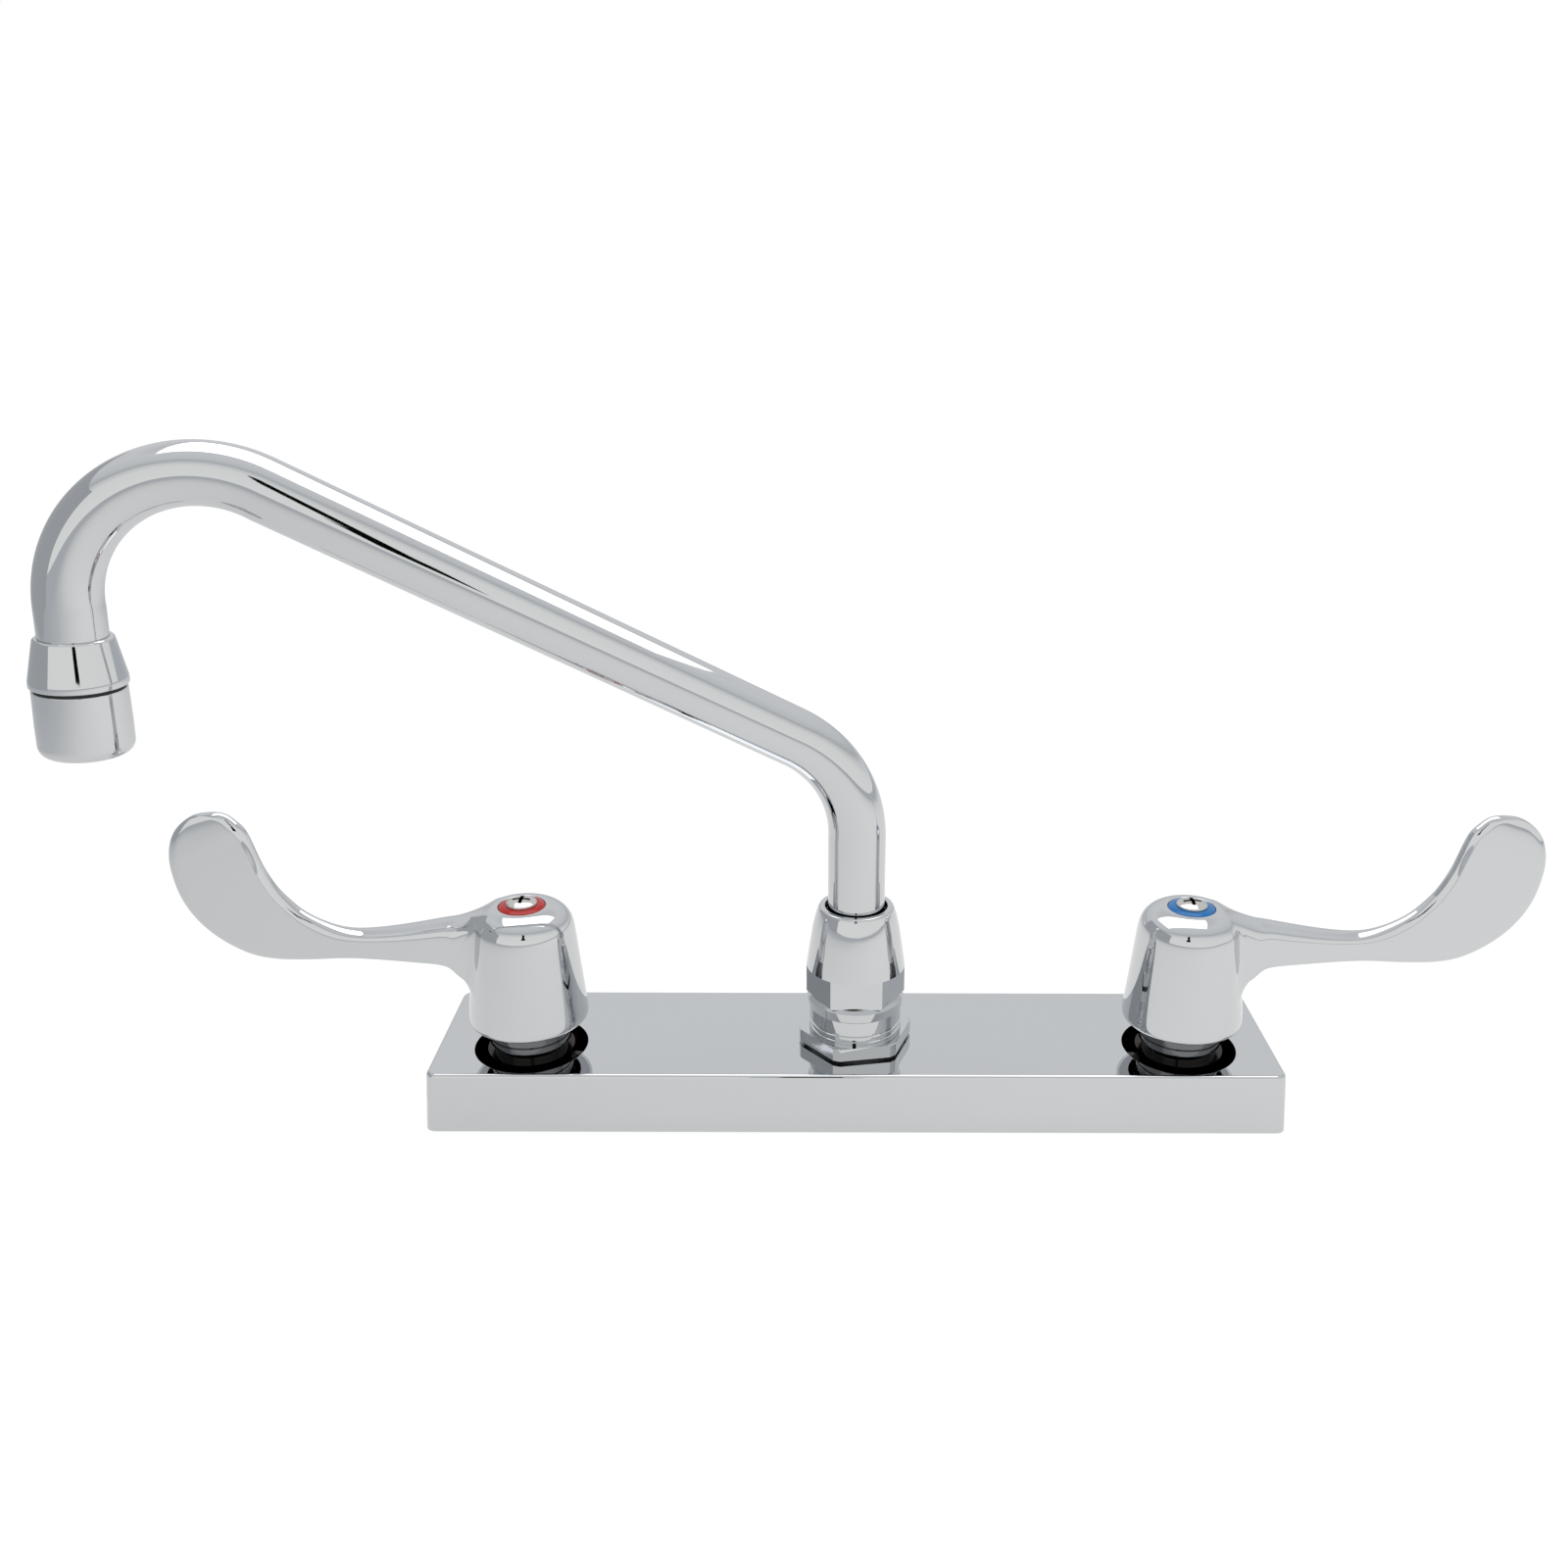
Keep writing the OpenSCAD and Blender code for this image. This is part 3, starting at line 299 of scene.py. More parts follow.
def turned_metal(name, colour, rough_low, rough_high):
    """Machined metal: fine rings left by the tool give it a soft sheen"""
    tree = new_material(name).node_tree
    place = add_node(tree, "ShaderNodeTexCoord")
    turn = add_node(tree, "ShaderNodeMapping", {"Vector": place.outputs["Object"]}, {"Scale": LATHE_STRETCH})
    rings = add_node(tree, "ShaderNodeTexNoise", {"Vector": turn.outputs["Vector"]},
                     {"Scale": 1 / (LATHE_MM * MM), "Detail": 3.0, "Roughness": 0.6})
    bump = add_node(tree, "ShaderNodeBump", {"Height": rings.outputs["Fac"]},
                    {"Strength": 0.4, "Distance": LATHE_HEIGHT_MM * MM})
    rough = add_node(tree, "ShaderNodeMapRange", {"Value": rings.outputs["Fac"]},
                     {**NOISE_SWING, "To Min": rough_low, "To Max": rough_high})
    tone = add_node(tree, "ShaderNodeMix", {"Factor": rings.outputs["Fac"]},
                    {6: linear(colour), 7: linear(colour, TURNED_SHADE)}, data_type="RGBA")
    shader = add_node(tree, "ShaderNodeBsdfPrincipled",
                      {"Normal": bump.outputs["Normal"], "Roughness": rough.outputs["Result"],
                       "Base Color": tone.outputs[2]}, {"Metallic": 1.0})
    add_node(tree, "ShaderNodeOutputMaterial", {"Surface": shader.outputs["BSDF"]})


def moulded(name, colour, grain_mm, rough_low, rough_high, ior, height_mm=0.02):
    """Moulded, cast or lapped solid: an even colour and a fine skin, drawn coarse enough to show"""
    tree = new_material(name).node_tree
    place = add_node(tree, "ShaderNodeTexCoord").outputs["Object"]
    grain, bump = ripple(tree, place, grain_mm, height_mm, strength=0.35, detail=3.0)
    rough = add_node(tree, "ShaderNodeMapRange", {"Value": grain.outputs["Fac"]},
                     {**NOISE_SWING, "To Min": rough_low, "To Max": rough_high})
    tone = add_node(tree, "ShaderNodeMix", {"Factor": grain.outputs["Fac"]},
                    {6: linear(colour), 7: linear(colour, MOULDED_SHADE)}, data_type="RGBA")
    shader = add_node(tree, "ShaderNodeBsdfPrincipled",
                      {"Normal": bump.outputs["Normal"], "Roughness": rough.outputs["Result"],
                       "Base Color": tone.outputs[2]}, {"IOR": ior})
    add_node(tree, "ShaderNodeOutputMaterial", {"Surface": shader.outputs["BSDF"]})


def make_finishes(colours):
    """Makes every finish of the faucet once"""
    # Chrome over cast metal that was polished by hand: the mirror swims a little on handles and aerator
    chrome_plate("chrome_plate_cast", colours.chrome, 22, 0.012)
    # Chrome over drawn tube: the straightest reflections of all
    chrome_plate("chrome_plate_tube", colours.chrome, 30, 0.010)
    # Chrome over the die cast cover: long shallow waves across its flat top
    chrome_plate("chrome_plate_cover", colours.chrome, 34, 0.020)
    # Chrome over turned and milled nuts: short waves that break the small reflections up
    chrome_plate("chrome_plate_nut", colours.chrome, 9, 0.030)
    # Machined brass inside: warm, with a soft sheen along the tool's rings
    turned_metal("turned_brass", colours.brass, 0.22, 0.38)
    # Unplated die cast zinc on the inner side of the cover: dull, and painted nearly black as shade in the
    # hollow
    moulded("cast_zinc_inside_and_shade", colours.raw_inside_and_shade, 1.2, 0.5, 0.65, 1.5)
    # Valve bodies down in the plate's holes and the screws' crosses: brass painted dark as deep shade, with
    # small glints
    turned_metal("recess_painted_shade", colours.recess_shade, 0.12, 0.22)
    # Bonnets under the handles, of nickel plate darkened as painted shade from the handles: a grey, half
    # clear mirror
    turned_metal("nickel_plate_painted_shade", colours.bonnet_shade, 0.06, 0.14)
    # Nickel plated screws: bright, a little warmer than the chrome
    turned_metal("nickel_plated_steel", colours.nickel, 0.10, 0.18)
    # Drawn copper: pink and softly bright
    turned_metal("drawn_copper", colours.copper, 0.25, 0.40)
    # Stainless steel washers and screen: plain grey with a soft sheen
    turned_metal("stainless_steel", colours.steel, 0.18, 0.32)
    # Moulded nitrile rubber: black with a dull skin
    moulded("black_nitrile_rubber", colours.rubber, 0.8, 0.45, 0.62, 1.52)
    # Moulded nylon in its own cream colour: even and waxy
    moulded("natural_nylon", colours.nylon, 1.5, 0.40, 0.52, 1.53)
    # Lapped ceramic: white, flat and glossy
    moulded("lapped_ceramic", colours.ceramic, 0.6, 0.16, 0.24, 1.70, 0.004)
    # Moulded index rings: strong even colour under a smooth gloss
    moulded("red_index_plastic", colours.red, 2.5, 0.12, 0.18, 1.38, 0.002)
    moulded("blue_index_plastic", colours.blue, 2.5, 0.12, 0.18, 1.38, 0.002)


# Shapes

# Edges that turn more than this many degrees are sharp: on most pieces, and on the machined nuts and screws
SHARP = 38
MACHINED_SHARP = 24


def at_valve(side):
    """Moves a piece made round its own axis to the valve; the hot side is the mirror of the cold one"""
    layout = bpy.context.scene.faucet_layout
    flip = Matrix.Diagonal((SIDES[side], 1, 1, 1))
    return Matrix.Translation((SIDES[side] * layout.valve_x, -layout.valve_y, 0)) @ flip


def at_spout():
    """Moves a piece made round its own axis to the spout's post"""
    return Matrix.Translation((0, -bpy.context.scene.faucet_layout.spout_y, 0))


def along_spout():
    """Turns a piece made along X to the spout's direction at rest"""
    return at_spout() @ Matrix.Rotation(math.pi + bpy.context.scene.faucet_spout.turn, 4, "Z")


def spout_route():
    """Centre line of the tube in its own plane: both ends of the run, the outlet bend's centre and its end"""
    s = bpy.context.scene.faucet_spout
    rise, lean = s.rise, s.lean
    first_run = s.post_bend * (1 - math.sin(rise))
    last_run = s.outlet_bend * (math.sin(rise) + math.cos(lean))
    run = s.reach - s.mouth_depth * math.sin(lean) - first_run - last_run
    foot = Vector((first_run, 0, s.bend_foot + s.post_bend * math.cos(rise)))
    top = foot + Vector((run, 0, run * math.tan(rise)))
    centre = top + s.outlet_bend * Vector((math.sin(rise), 0, -math.cos(rise)))
    end = centre + s.outlet_bend * Vector((math.cos(lean), 0, math.sin(lean)))
    return {"foot": foot, "top": top, "centre": centre, "end": end}


def at_outlet():
    """Frame at the end of the outlet bend, with Z back up the tube"""
    return along_spout() @ Matrix.Translation(spout_route()["end"]) @ Matrix.Rotation(
        -bpy.context.scene.faucet_spout.lean, 4, "Y")


def outline(points):
    """A closed ring of edges in the XZ plane, through points of (radius, level) in millimetres"""
    shape = bmesh.new()
    verts = [shape.verts.new((radius * MM, 0, level * MM)) for radius, level in points]
    for i, vert in enumerate(verts):
        shape.edges.new((vert, verts[(i + 1) % len(verts)]))
    return shape, verts


def spin_round(shape, sides):
    """Spins an outline into a closed skin round Z"""
    bmesh.ops.spin(shape, geom=shape.verts[:] + shape.edges[:], axis=(0, 0, 1), cent=(0, 0, 0),
                   angle=math.tau, steps=sides, use_merge=True)
    bmesh.ops.remove_doubles(shape, verts=shape.verts[:], dist=MERGE)


def turned(points, sides=None):
    """A turned solid from points of (radius, level, rounding) in millimetres"""
    shape, verts = outline([point[:2] for point in points])
    for vert, (_, _, rounding) in zip(verts, points):
        if rounding:
            bmesh.ops.bevel(shape, geom=[vert], offset=rounding * MM, offset_type="OFFSET",
                            segments=4 + int(2 * rounding), profile=0.5, affect="VERTICES", material=-1)
    spin_round(shape, sides or bpy.context.scene.faucet_layout.round_sides)
    bmesh.ops.recalc_face_normals(shape, faces=shape.faces[:])
    return shape


def put(shape, name, body, material, node, place=None, sharp=SHARP, even=True):
    """Turns a bmesh into a finished piece, which rides on its body and replaces its node

    Edges that turn more than the sharp angle, in degrees, stay sharp in the shading."""
    if not shape.faces:
        raise RuntimeError("%s has no faces" % name)
    if place is not None:
        bmesh.ops.transform(shape, matrix=place, verts=shape.verts[:])
        if place.determinant() < 0:
            bmesh.ops.reverse_faces(shape, faces=shape.faces[:])
    for face in shape.faces:
        face.smooth = True
    for edge in shape.edges:
        if len(edge.link_faces) == 2 and edge.calc_face_angle(0.0) > math.radians(sharp):
            edge.smooth = False
    mesh = bpy.data.meshes.new(name)
    shape.to_mesh(mesh)
    shape.free()
    piece = bpy.data.objects.new(name, mesh)
    bpy.context.scene.collection.objects.link(piece)
    mesh.materials.append(bpy.data.materials[material])
    if even:
        piece.modifiers.new("Even shading", "WEIGHTED_NORMAL").keep_sharp = True
    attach(piece, body)
    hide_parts(node)
    return piece


def soften(piece, width_mm):
    """Breaks the sharp edges of a machined piece by a width in millimetres, so that they catch the light"""
    step = piece.modifiers.new("Broken edges", "BEVEL")
    step.width = width_mm * MM
    step.segments = 2
    step.limit_method = "ANGLE"
    step.angle_limit = math.radians(MACHINED_SHARP)
    # The edges are broken before the shading is made even
    piece.modifiers.move(len(piece.modifiers) - 1, 0)


def cut(shape, cutters):
    """Takes the cutters away from a shape and gives the result back as a bmesh"""
    objects = []
    for part in [shape] + cutters:
        mesh = bpy.data.meshes.new("cut")
        part.to_mesh(mesh)
        part.free()
        objects.append(bpy.data.objects.new("cut", mesh))
        bpy.context.scene.collection.objects.link(objects[-1])
    for cutter in objects[1:]:
        step = objects[0].modifiers.new("cut", "BOOLEAN")
        step.operation, step.solver, step.object = "DIFFERENCE", "EXACT", cutter
    bpy.context.view_layer.update()
    result = bmesh.new()
    result.from_mesh(objects[0].evaluated_get(bpy.context.evaluated_depsgraph_get()).to_mesh())
    for thing in objects:
        mesh = thing.data
        bpy.data.objects.remove(thing)
        bpy.data.meshes.remove(mesh)
    return result


def box_shape(low, high):
    """A block between its lowest and its highest corner"""
    shape = bmesh.new()
    low, high = Vector(low), Vector(high)
    stretch = Matrix.Diagonal((*(high - low), 1))
    bmesh.ops.create_cube(shape, size=1.0, matrix=Matrix.Translation((low + high) / 2) @ stretch)
    return shape


def rod_shape(radius, low, high, place):
    """An upright rod between two levels, with its axis at a place in plan"""
    shape = bmesh.new()
    bmesh.ops.create_cone(shape, cap_ends=True, segments=bpy.context.scene.faucet_layout.round_sides,
                          radius1=radius, radius2=radius, depth=high - low,
                          matrix=Matrix.Translation((*place, (low + high) / 2)))
    return shape


# Cover plate


def plate_shape():
    """The cover: a leaning box with rounded corners and edges, hollow below, with three holes"""
    p, layout = bpy.context.scene.faucet_plate, bpy.context.scene.faucet_layout
    top = layout.plate_top
    shape = box_shape((-p.length / 2, -p.depth / 2, 0), (p.length / 2, p.depth / 2, top))
    upper = [v for v in shape.verts if v.co.z > top / 2]
    bmesh.ops.scale(shape, verts=upper, vec=(1 - 2 * p.lean / p.length, 1 - 2 * p.lean / p.depth, 1))
    upright = [e for e in shape.edges if abs(e.verts[0].co.z - e.verts[1].co.z) > top / 2]
    bmesh.ops.bevel(shape, geom=upright, offset=p.corner, segments=6, profile=0.5, affect="EDGES",
                    material=-1)
    brow = [e for e in shape.edges if all(v.co.z > top - CLOSE for v in e.verts)]
    bmesh.ops.bevel(shape, geom=brow, offset=p.edge, segments=5, profile=0.5, affect="EDGES", material=-1)
    inner_x, inner_y = p.length / 2 - p.lean - p.wall, p.depth / 2 - p.lean - p.wall
    centres = [Vector((sign * layout.valve_x, -layout.valve_y)) for sign in SIDES.values()]
    # The hollow reaches below the foot, and the holes' cutters stand well above the top
    cutters = [box_shape((-inner_x, -inner_y, -top), (inner_x, inner_y, top - p.wall)),
               rod_shape(p.post_hole, top - 2 * p.wall, 2 * top, (0, -layout.spout_y))]
    cutters += [rod_shape(p.valve_hole, top - 2 * p.wall, 2 * top, centre) for centre in centres]
    shape = cut(shape, cutters)
    round_rims(shape, top, centres, p.valve_hole, p.rim)
    # Faces inside the hollow take the second finish: dull unplated metal, painted near black as shade
    for face in shape.faces:
        middle = face.calc_center_median()
        deep = middle.z < top - p.wall + CLOSE
        within = abs(middle.x) < inner_x + CLOSE and abs(middle.y) < inner_y + CLOSE
        face.material_index = 1 if deep and within else 0
    return shape


def round_rims(shape, top, centres, radius, rounding):
    """Rounds the rims of the holes of one radius in a flat top"""
    # The points of a rim lie on its circle to a hundredth of a millimetre
    near = 0.01 * MM
    rims = []
    for edge in shape.edges:
        level = all(abs(v.co.z - top) < CLOSE for v in edge.verts)
        on_circle = all(any(abs((v.co.xy - c).length - radius) < near for c in centres) for v in edge.verts)
        if level and on_circle:
            rims.append(edge)
    bmesh.ops.bevel(shape, geom=rims, offset=rounding, segments=2, profile=0.5, affect="EDGES", material=-1)


class MakePlate(bpy.types.Operator):
    """Shapes the cover plate"""

    bl_idname = "faucet.make_plate"
    bl_label = "Cover plate"

    def execute(self, context):
        piece = put(plate_shape(), "stamped_cover", "base", "chrome_plate_cover",
                    "cover_plate")
        # The inner side takes the dull finish that is painted near black as shade
        piece.data.materials.append(bpy.data.materials["cast_zinc_inside_and_shade"])
        return {"FINISHED"}


# Spout and aerator

TUBE_SIDES = 72
# Rows of faces along each stretch of the tube, from the post to the collar
TUBE_ROWS = {"post": 6, "post bend": 28, "run": 24, "outlet bend": 48, "end": 5}
# The post's bend turns less than the outlet's, and flattens only this share as much
POST_BEND_SHARE = 0.4
# How far from a bend's centre line points still belong to it
BEND_REACH = 12 * MM
# How far inside the centre line the flattening is at its full strength
BEND_FADE = 9 * MM
# Below 1, this lets the flattening set in early and hold through the bend
BEND_EASE = 0.8


def tube_shape():
    """The spout tube: a ring of points drawn up the post, round both bends and down into the collar"""
    s = bpy.context.scene.faucet_spout
    route = spout_route()
    shape = bmesh.new()
    bmesh.ops.create_circle(shape, cap_ends=False, segments=TUBE_SIDES, radius=s.radius,
                            matrix=Matrix.Translation((0, 0, s.foot)))
    ring = shape.edges[:]

    def draw(to, steps):
        """Draws the open end straight on"""
        nonlocal ring
        for _ in range(steps):
            made = bmesh.ops.extrude_edge_only(shape, edges=ring)["geom"]
            verts = [g for g in made if isinstance(g, bmesh.types.BMVert)]
            bmesh.ops.translate(shape, verts=verts, vec=to / steps)
            ring = [g for g in made if isinstance(g, bmesh.types.BMEdge)]

    def bend(centre, turn, steps):
        """Draws the open end round a bend"""
        nonlocal ring
        made = bmesh.ops.spin(shape, geom=ring, cent=centre, axis=(0, 1, 0), angle=turn, steps=steps,
                              use_merge=False)["geom_last"]
        ring = [g for g in made if isinstance(g, bmesh.types.BMEdge)]

    post_centre = Vector((s.post_bend, 0, s.bend_foot))
    post_turn = math.pi / 2 - s.rise
    outlet_turn = math.pi / 2 + s.rise - s.lean
    draw(Vector((0, 0, s.bend_foot - s.foot)), TUBE_ROWS["post"])
    bend(post_centre, post_turn, TUBE_ROWS["post bend"])
    draw(route["top"] - route["foot"], TUBE_ROWS["run"])
    bend(route["centre"], outlet_turn, TUBE_ROWS["outlet bend"])
    down = Vector((math.sin(s.lean), 0, -math.cos(s.lean)))
    draw(down * (s.outlet_drop + s.collar_grip), TUBE_ROWS["end"])
    bmesh.ops.remove_doubles(shape, verts=shape.verts[:], dist=MERGE)
    squeeze(shape, post_centre, s.post_bend, math.pi, -post_turn, s.flattening * POST_BEND_SHARE)
    squeeze(shape, route["centre"], s.outlet_bend, math.pi / 2 + s.rise, -outlet_turn, s.flattening)
    bmesh.ops.recalc_face_normals(shape, faces=shape.faces[:])
    return shape


def squeeze(shape, centre, radius, start, turn, share):
    """Presses the inner side of a bend in a little, as bending does, and fades out at the bend's ends"""
    width = 2 * bpy.context.scene.faucet_spout.radius
    for vert in shape.verts:
        out = Vector((vert.co.x - centre.x, 0, vert.co.z - centre.z))
        along = (math.atan2(out.z, out.x) - start) / turn
        if not 0 < along < 1 or abs(out.length - radius) > BEND_REACH:
            continue
        inside = min(max((radius - out.length) / BEND_FADE, -1), 1)
        push = share * width * math.sin(math.pi * along) ** BEND_EASE * (0.5 + 0.5 * inside)
        vert.co += out.normalized() * push


class MakeSpout(bpy.types.Operator):
    """Draws the bent spout tube"""

    bl_idname = "faucet.make_spout"
    bl_label = "Spout tube"

    def execute(self, context):
        piece = put(tube_shape(), "spout_bent_tube", "spout", "chrome_plate_tube",
                    "spout_tube", along_spout(), even=False)
        wall = piece.modifiers.new("Wall", "SOLIDIFY")
        wall.thickness = context.scene.faucet_spout.wall
        wall.offset = -1
        return {"FINISHED"}


class MakeAerator(bpy.types.Operator):
    """Turns the flared collar, the black line and the housing at the spout's end"""

    bl_idname = "faucet.make_aerator"
    bl_label = "Aerator"

    # In millimetres: clearance round the tube, clearance round the neck, and how far the line stands back
    tube_fit = 0.03
    neck_fit = 0.1
    line_inset = 0.6
    # Height of the upright band at the collar's foot
    collar_band = 1.6

    def execute(self, context):
        a, s = context.scene.faucet_aerator, context.scene.faucet_spout
        bore, grip = s.radius / MM + self.tube_fit, -(s.outlet_drop + s.collar_grip) / MM
        top, mouth = -s.outlet_drop / MM, -s.mouth_depth / MM
        foot = top - a.collar_height / MM
        low = foot - a.line / MM
        wide, neck, neck_foot, way = a.collar_foot / MM, a.neck / MM, -a.neck_depth / MM, a.water_way / MM
        collar = turned([(bore, top, 0), (a.collar_top / MM, top, 0.7), (wide, foot + self.collar_band, 0.5),
                         (wide, foot, 0.3), (neck, foot, 0), (neck, neck_foot, 0), (way, neck_foot, 0),
                         (way, grip, 0), (bore, grip, 0)])
        put(collar, "aerator_flared_collar", "spout", "chrome_plate_cast",
            "aerator_collar", at_outlet())
        inner, outer = neck + self.neck_fit, a.housing_top / MM
        edge = outer - self.line_inset
        line = turned([(inner, low, 0), (edge, low, 0), (edge, foot, 0), (inner, foot, 0)])
        put(line, "aerator_black_line", "spout", "black_nitrile_rubber", "aerator_ring",
            at_outlet())
        side, lip = a.housing_side / MM, mouth + a.lip / MM
        housing = turned([(inner, low, 0), (outer, low, 0.25), (side, (low + mouth) / 2, 0),
                          (side, mouth, a.housing_edge / MM), (a.mouth / MM, mouth, 0.2),
                          (a.mouth / MM, lip, 0), (inner, lip, 0)])
        put(housing, "aerator_shell", "spout", "chrome_plate_cast", "aerator_housing",
            at_outlet())
        return {"FINISHED"}


# Nuts at the post's foot

# The swivel nut's cone: how far in from the band's radius, and how far above the band
NUT_CONE = ((0, 0), (0.67, 4.78), (1.3, 8.95), (1.96, 13.13), (2.89, 17.11))
# How far in from the band's radius the rim at the top lies
NUT_RIM_IN = 4.2
# The undercut below the band reaches this far above the band's foot, and the flats start there
NUT_LIFT = 0.15
# Clearance between the nut and the tube
NUT_WAY_FIT = 0.3
# A full corner of the locknut would stand at 1.155 of half its width; they are turned off to this
LOCK_CORNER_SHARE = 1.115


def hex_cutters(across, low, high, turn=0.0):
    """Six blocks that cut the flats of a hexagon, one of them in front at no turn"""
    blocks = []
    for k in range(6):
        block = box_shape((across / 2, -across, low), (across, across, high))
        bmesh.ops.rotate(block, verts=block.verts[:], cent=(0, 0, 0),
                         matrix=Matrix.Rotation(math.tau * k / 6 - math.pi / 2 + turn, 3, "Z"))
        blocks.append(block)
    return blocks


class MakeNuts(bpy.types.Operator):
    """Shapes the swivel nut and the locknut below it"""

    bl_idname = "faucet.make_nuts"
    bl_label = "Nuts"

    def execute(self, context):
        for shape, name, node in ((self.swivel_nut(context), "swivel_nut_hex", "swivel_nut"),
                                  (self.locknut(context), "spout_locknut_hex", "spout_locknut")):
            piece = put(shape, name, "base", "chrome_plate_nut", node, at_spout(),
                        MACHINED_SHARP)
            soften(piece, 0.12)
        return {"FINISHED"}

    def swivel_nut(self, context):
        """A short skirt, a ledge that slopes in under the flats, the band with the flats, and the cone"""
        n = context.scene.faucet_nuts
        foot, band, cone, top = n.foot / MM, n.band_foot / MM, n.band_top / MM, n.top / MM
        r, gap, sleeve = n.band_radius / MM, n.gap_radius / MM, n.bore / MM
        way = context.scene.faucet_spout.radius / MM + NUT_WAY_FIT
        skirt, undercut, rim = n.skirt / MM, n.undercut / MM, r - NUT_RIM_IN
        chamfer, ledge_out, ledge_drop = 0.3, r - 0.25, 0.9
        points = [(skirt - chamfer, foot, 0), (skirt, foot + chamfer, 0), (ledge_out, band - ledge_drop, 0),
                  (undercut, band + NUT_LIFT, 0), (r, band + NUT_LIFT, 0)]
        points += [(r - inwards, cone + up, 0) for inwards, up in NUT_CONE]
        # The rim's bevel, the open gap round the tube with its sloped floor, and the bore round the post
        bevel_out, bevel_drop, gap_depth, slope = 0.5, 0.6, 6, 0.5
        points += [(rim + bevel_out, top - bevel_drop, 0.4), (rim, top, 0.3), (gap, top, 0.25),
                   (gap, top - gap_depth, 0), (way, top - gap_depth - slope, 0), (way, cone, 0),
                   (sleeve, cone, 0), (sleeve, foot, 0)]
        return cut(turned(points), hex_cutters(n.across, n.band_foot + NUT_LIFT * MM, n.band_top))

    def locknut(self, context):
        """A thin hexagon whose corners are turned round, with a small chamfer on top"""
        n = context.scene.faucet_nuts
        low, high, bore = n.lock_foot / MM, n.lock_top / MM, n.lock_bore / MM
        corner = n.lock_across / MM / 2 * LOCK_CORNER_SHARE
        chamfer, chamfer_drop = 0.35, 0.2
        disc = turned([(bore, low, 0), (corner, low, 0), (corner, high - chamfer_drop, 0),
                       (corner - chamfer, high, 0), (bore, high, 0)])
        return cut(disc, hex_cutters(n.lock_across, n.lock_foot - MM, n.lock_top + MM, n.lock_turn))


# Handles

# Small steps that shape an edge of the hub's cage: how far out of the edge's radius and above its level
HUB_FOOT = ((-1.9, 0), (-0.9, 0.25), (-0.15, 1.1))
SEAT_RIM = ((0.5, 0), (0.08, -0.1), (0, -0.45))
SEAT_FLOOR = ((0, 0.2), (-0.3, 0))
BORE_TOP = ((0.4, 0), (0, -0.4))
BORE_FOOT = ((0, 0.4), (0.4, 0))
HOLLOW_TOP = ((-0.8, 0), (0, -0.8))
HOLLOW_RIM = ((0, 6), (0, 0.7), (0.6, 0))
# Levels of the rows up the hub's side, and turns of the rows round its shoulder, in degrees
SIDE_LEVELS = (32.5, 36.5, 41, 50)
SHOULDER_TURNS = (0, 30, 55, 78)
# The side tapers evenly from this height above the foot
TAPER_FOOT = 1.8
HUB_COLUMNS = 24
# Levels between which the hub's side is opened for the lever
OPENING = (42, 64.9)

# Lever by the hub: reach, lower level, upper level and thickness of each section, in millimetres
LEVER_NECK = (
    (18.6, 44.4, 63.3, 12.8), (22.0, 47.3, 62.5, 11.9), (27.0, 48.4, 61.6, 11.0), (34.0, 48.8, 60.3, 10.1),
    (42.0, 49.2, 59.1, 8.9))
# Blade: reach and level of each section's lower edge, the same of its upper edge, and its thickness
LEVER_BLADE = (
    (52.5, 49.5, 50.5, 58.6, 7.4), (61.0, 49.0, 57.0, 59.8, 6.5), (69.0, 48.6, 62.5, 62.2, 5.8),
    (76.5, 48.8, 67.0, 65.2, 5.4), (83.0, 50.1, 70.7, 69.0, 5.2), (88.5, 52.7, 73.2, 72.2, 5.1),
    (93.0, 55.8, 75.2, 75.8, 5.1), (97.0, 59.6, 76.8, 79.5, 5.0), (100.3, 64.1, 78.0, 83.2, 5.0),
    (102.7, 69.2, 79.0, 86.6, 5.0), (104.0, 74.4, 80.0, 89.6, 4.9), (104.6, 79.8, 81.3, 92.0, 4.9),
    (104.2, 84.5, 83.2, 94.0, 4.6), (103.0, 88.4, 85.2, 95.7, 4.1), (101.0, 91.6, 87.9, 96.6, 3.4),
    (98.4, 94.0, 91.2, 96.6, 2.6), (96.6, 95.2, 93.6, 96.3, 1.9))
# Rounding of the lever's lower edge: on the neck, and how it grows per millimetre of reach from there on
LOWER_ROUND = 1.6
LOWER_GROWTH = 0.052
NECK_END = 52
# Rounding of the upper edge: a fixed part and a share of the thickness
UPPER_ROUND = 1.8
UPPER_SHARE = 0.32
# An edge's rounding takes at most this share of half a section, has points at these turns in degrees,
# and meets the flat face this many times its own height further in
EDGE_LIMIT_SHARE = 0.6
EDGE_TURNS = (35, 68)
EDGE_END_SHARE = 1.25


def settle(shape, rounds=8):
    """Moves a cage so that its smooth surface passes through the points that were drawn"""
    drawn = {v: v.co.copy() for v in shape.verts}
    for _ in range(rounds):
        moved = {}
        for v in shape.verts:
            n = len(v.link_edges)
            near = sum((e.other_vert(v).co for e in v.link_edges), Vector())
            far = Vector()
            for loop in v.link_loops:
                far += loop.link_loop_next.link_loop_next.vert.co
            # Where the smooth surface meets this point of the cage: near and far are the corners round it
            limit = (n * n * v.co + 4 * near + far) / (n * (n + 5))
            moved[v] = v.co + (drawn[v] - limit)
        for v, co in moved.items():
            v.co = co


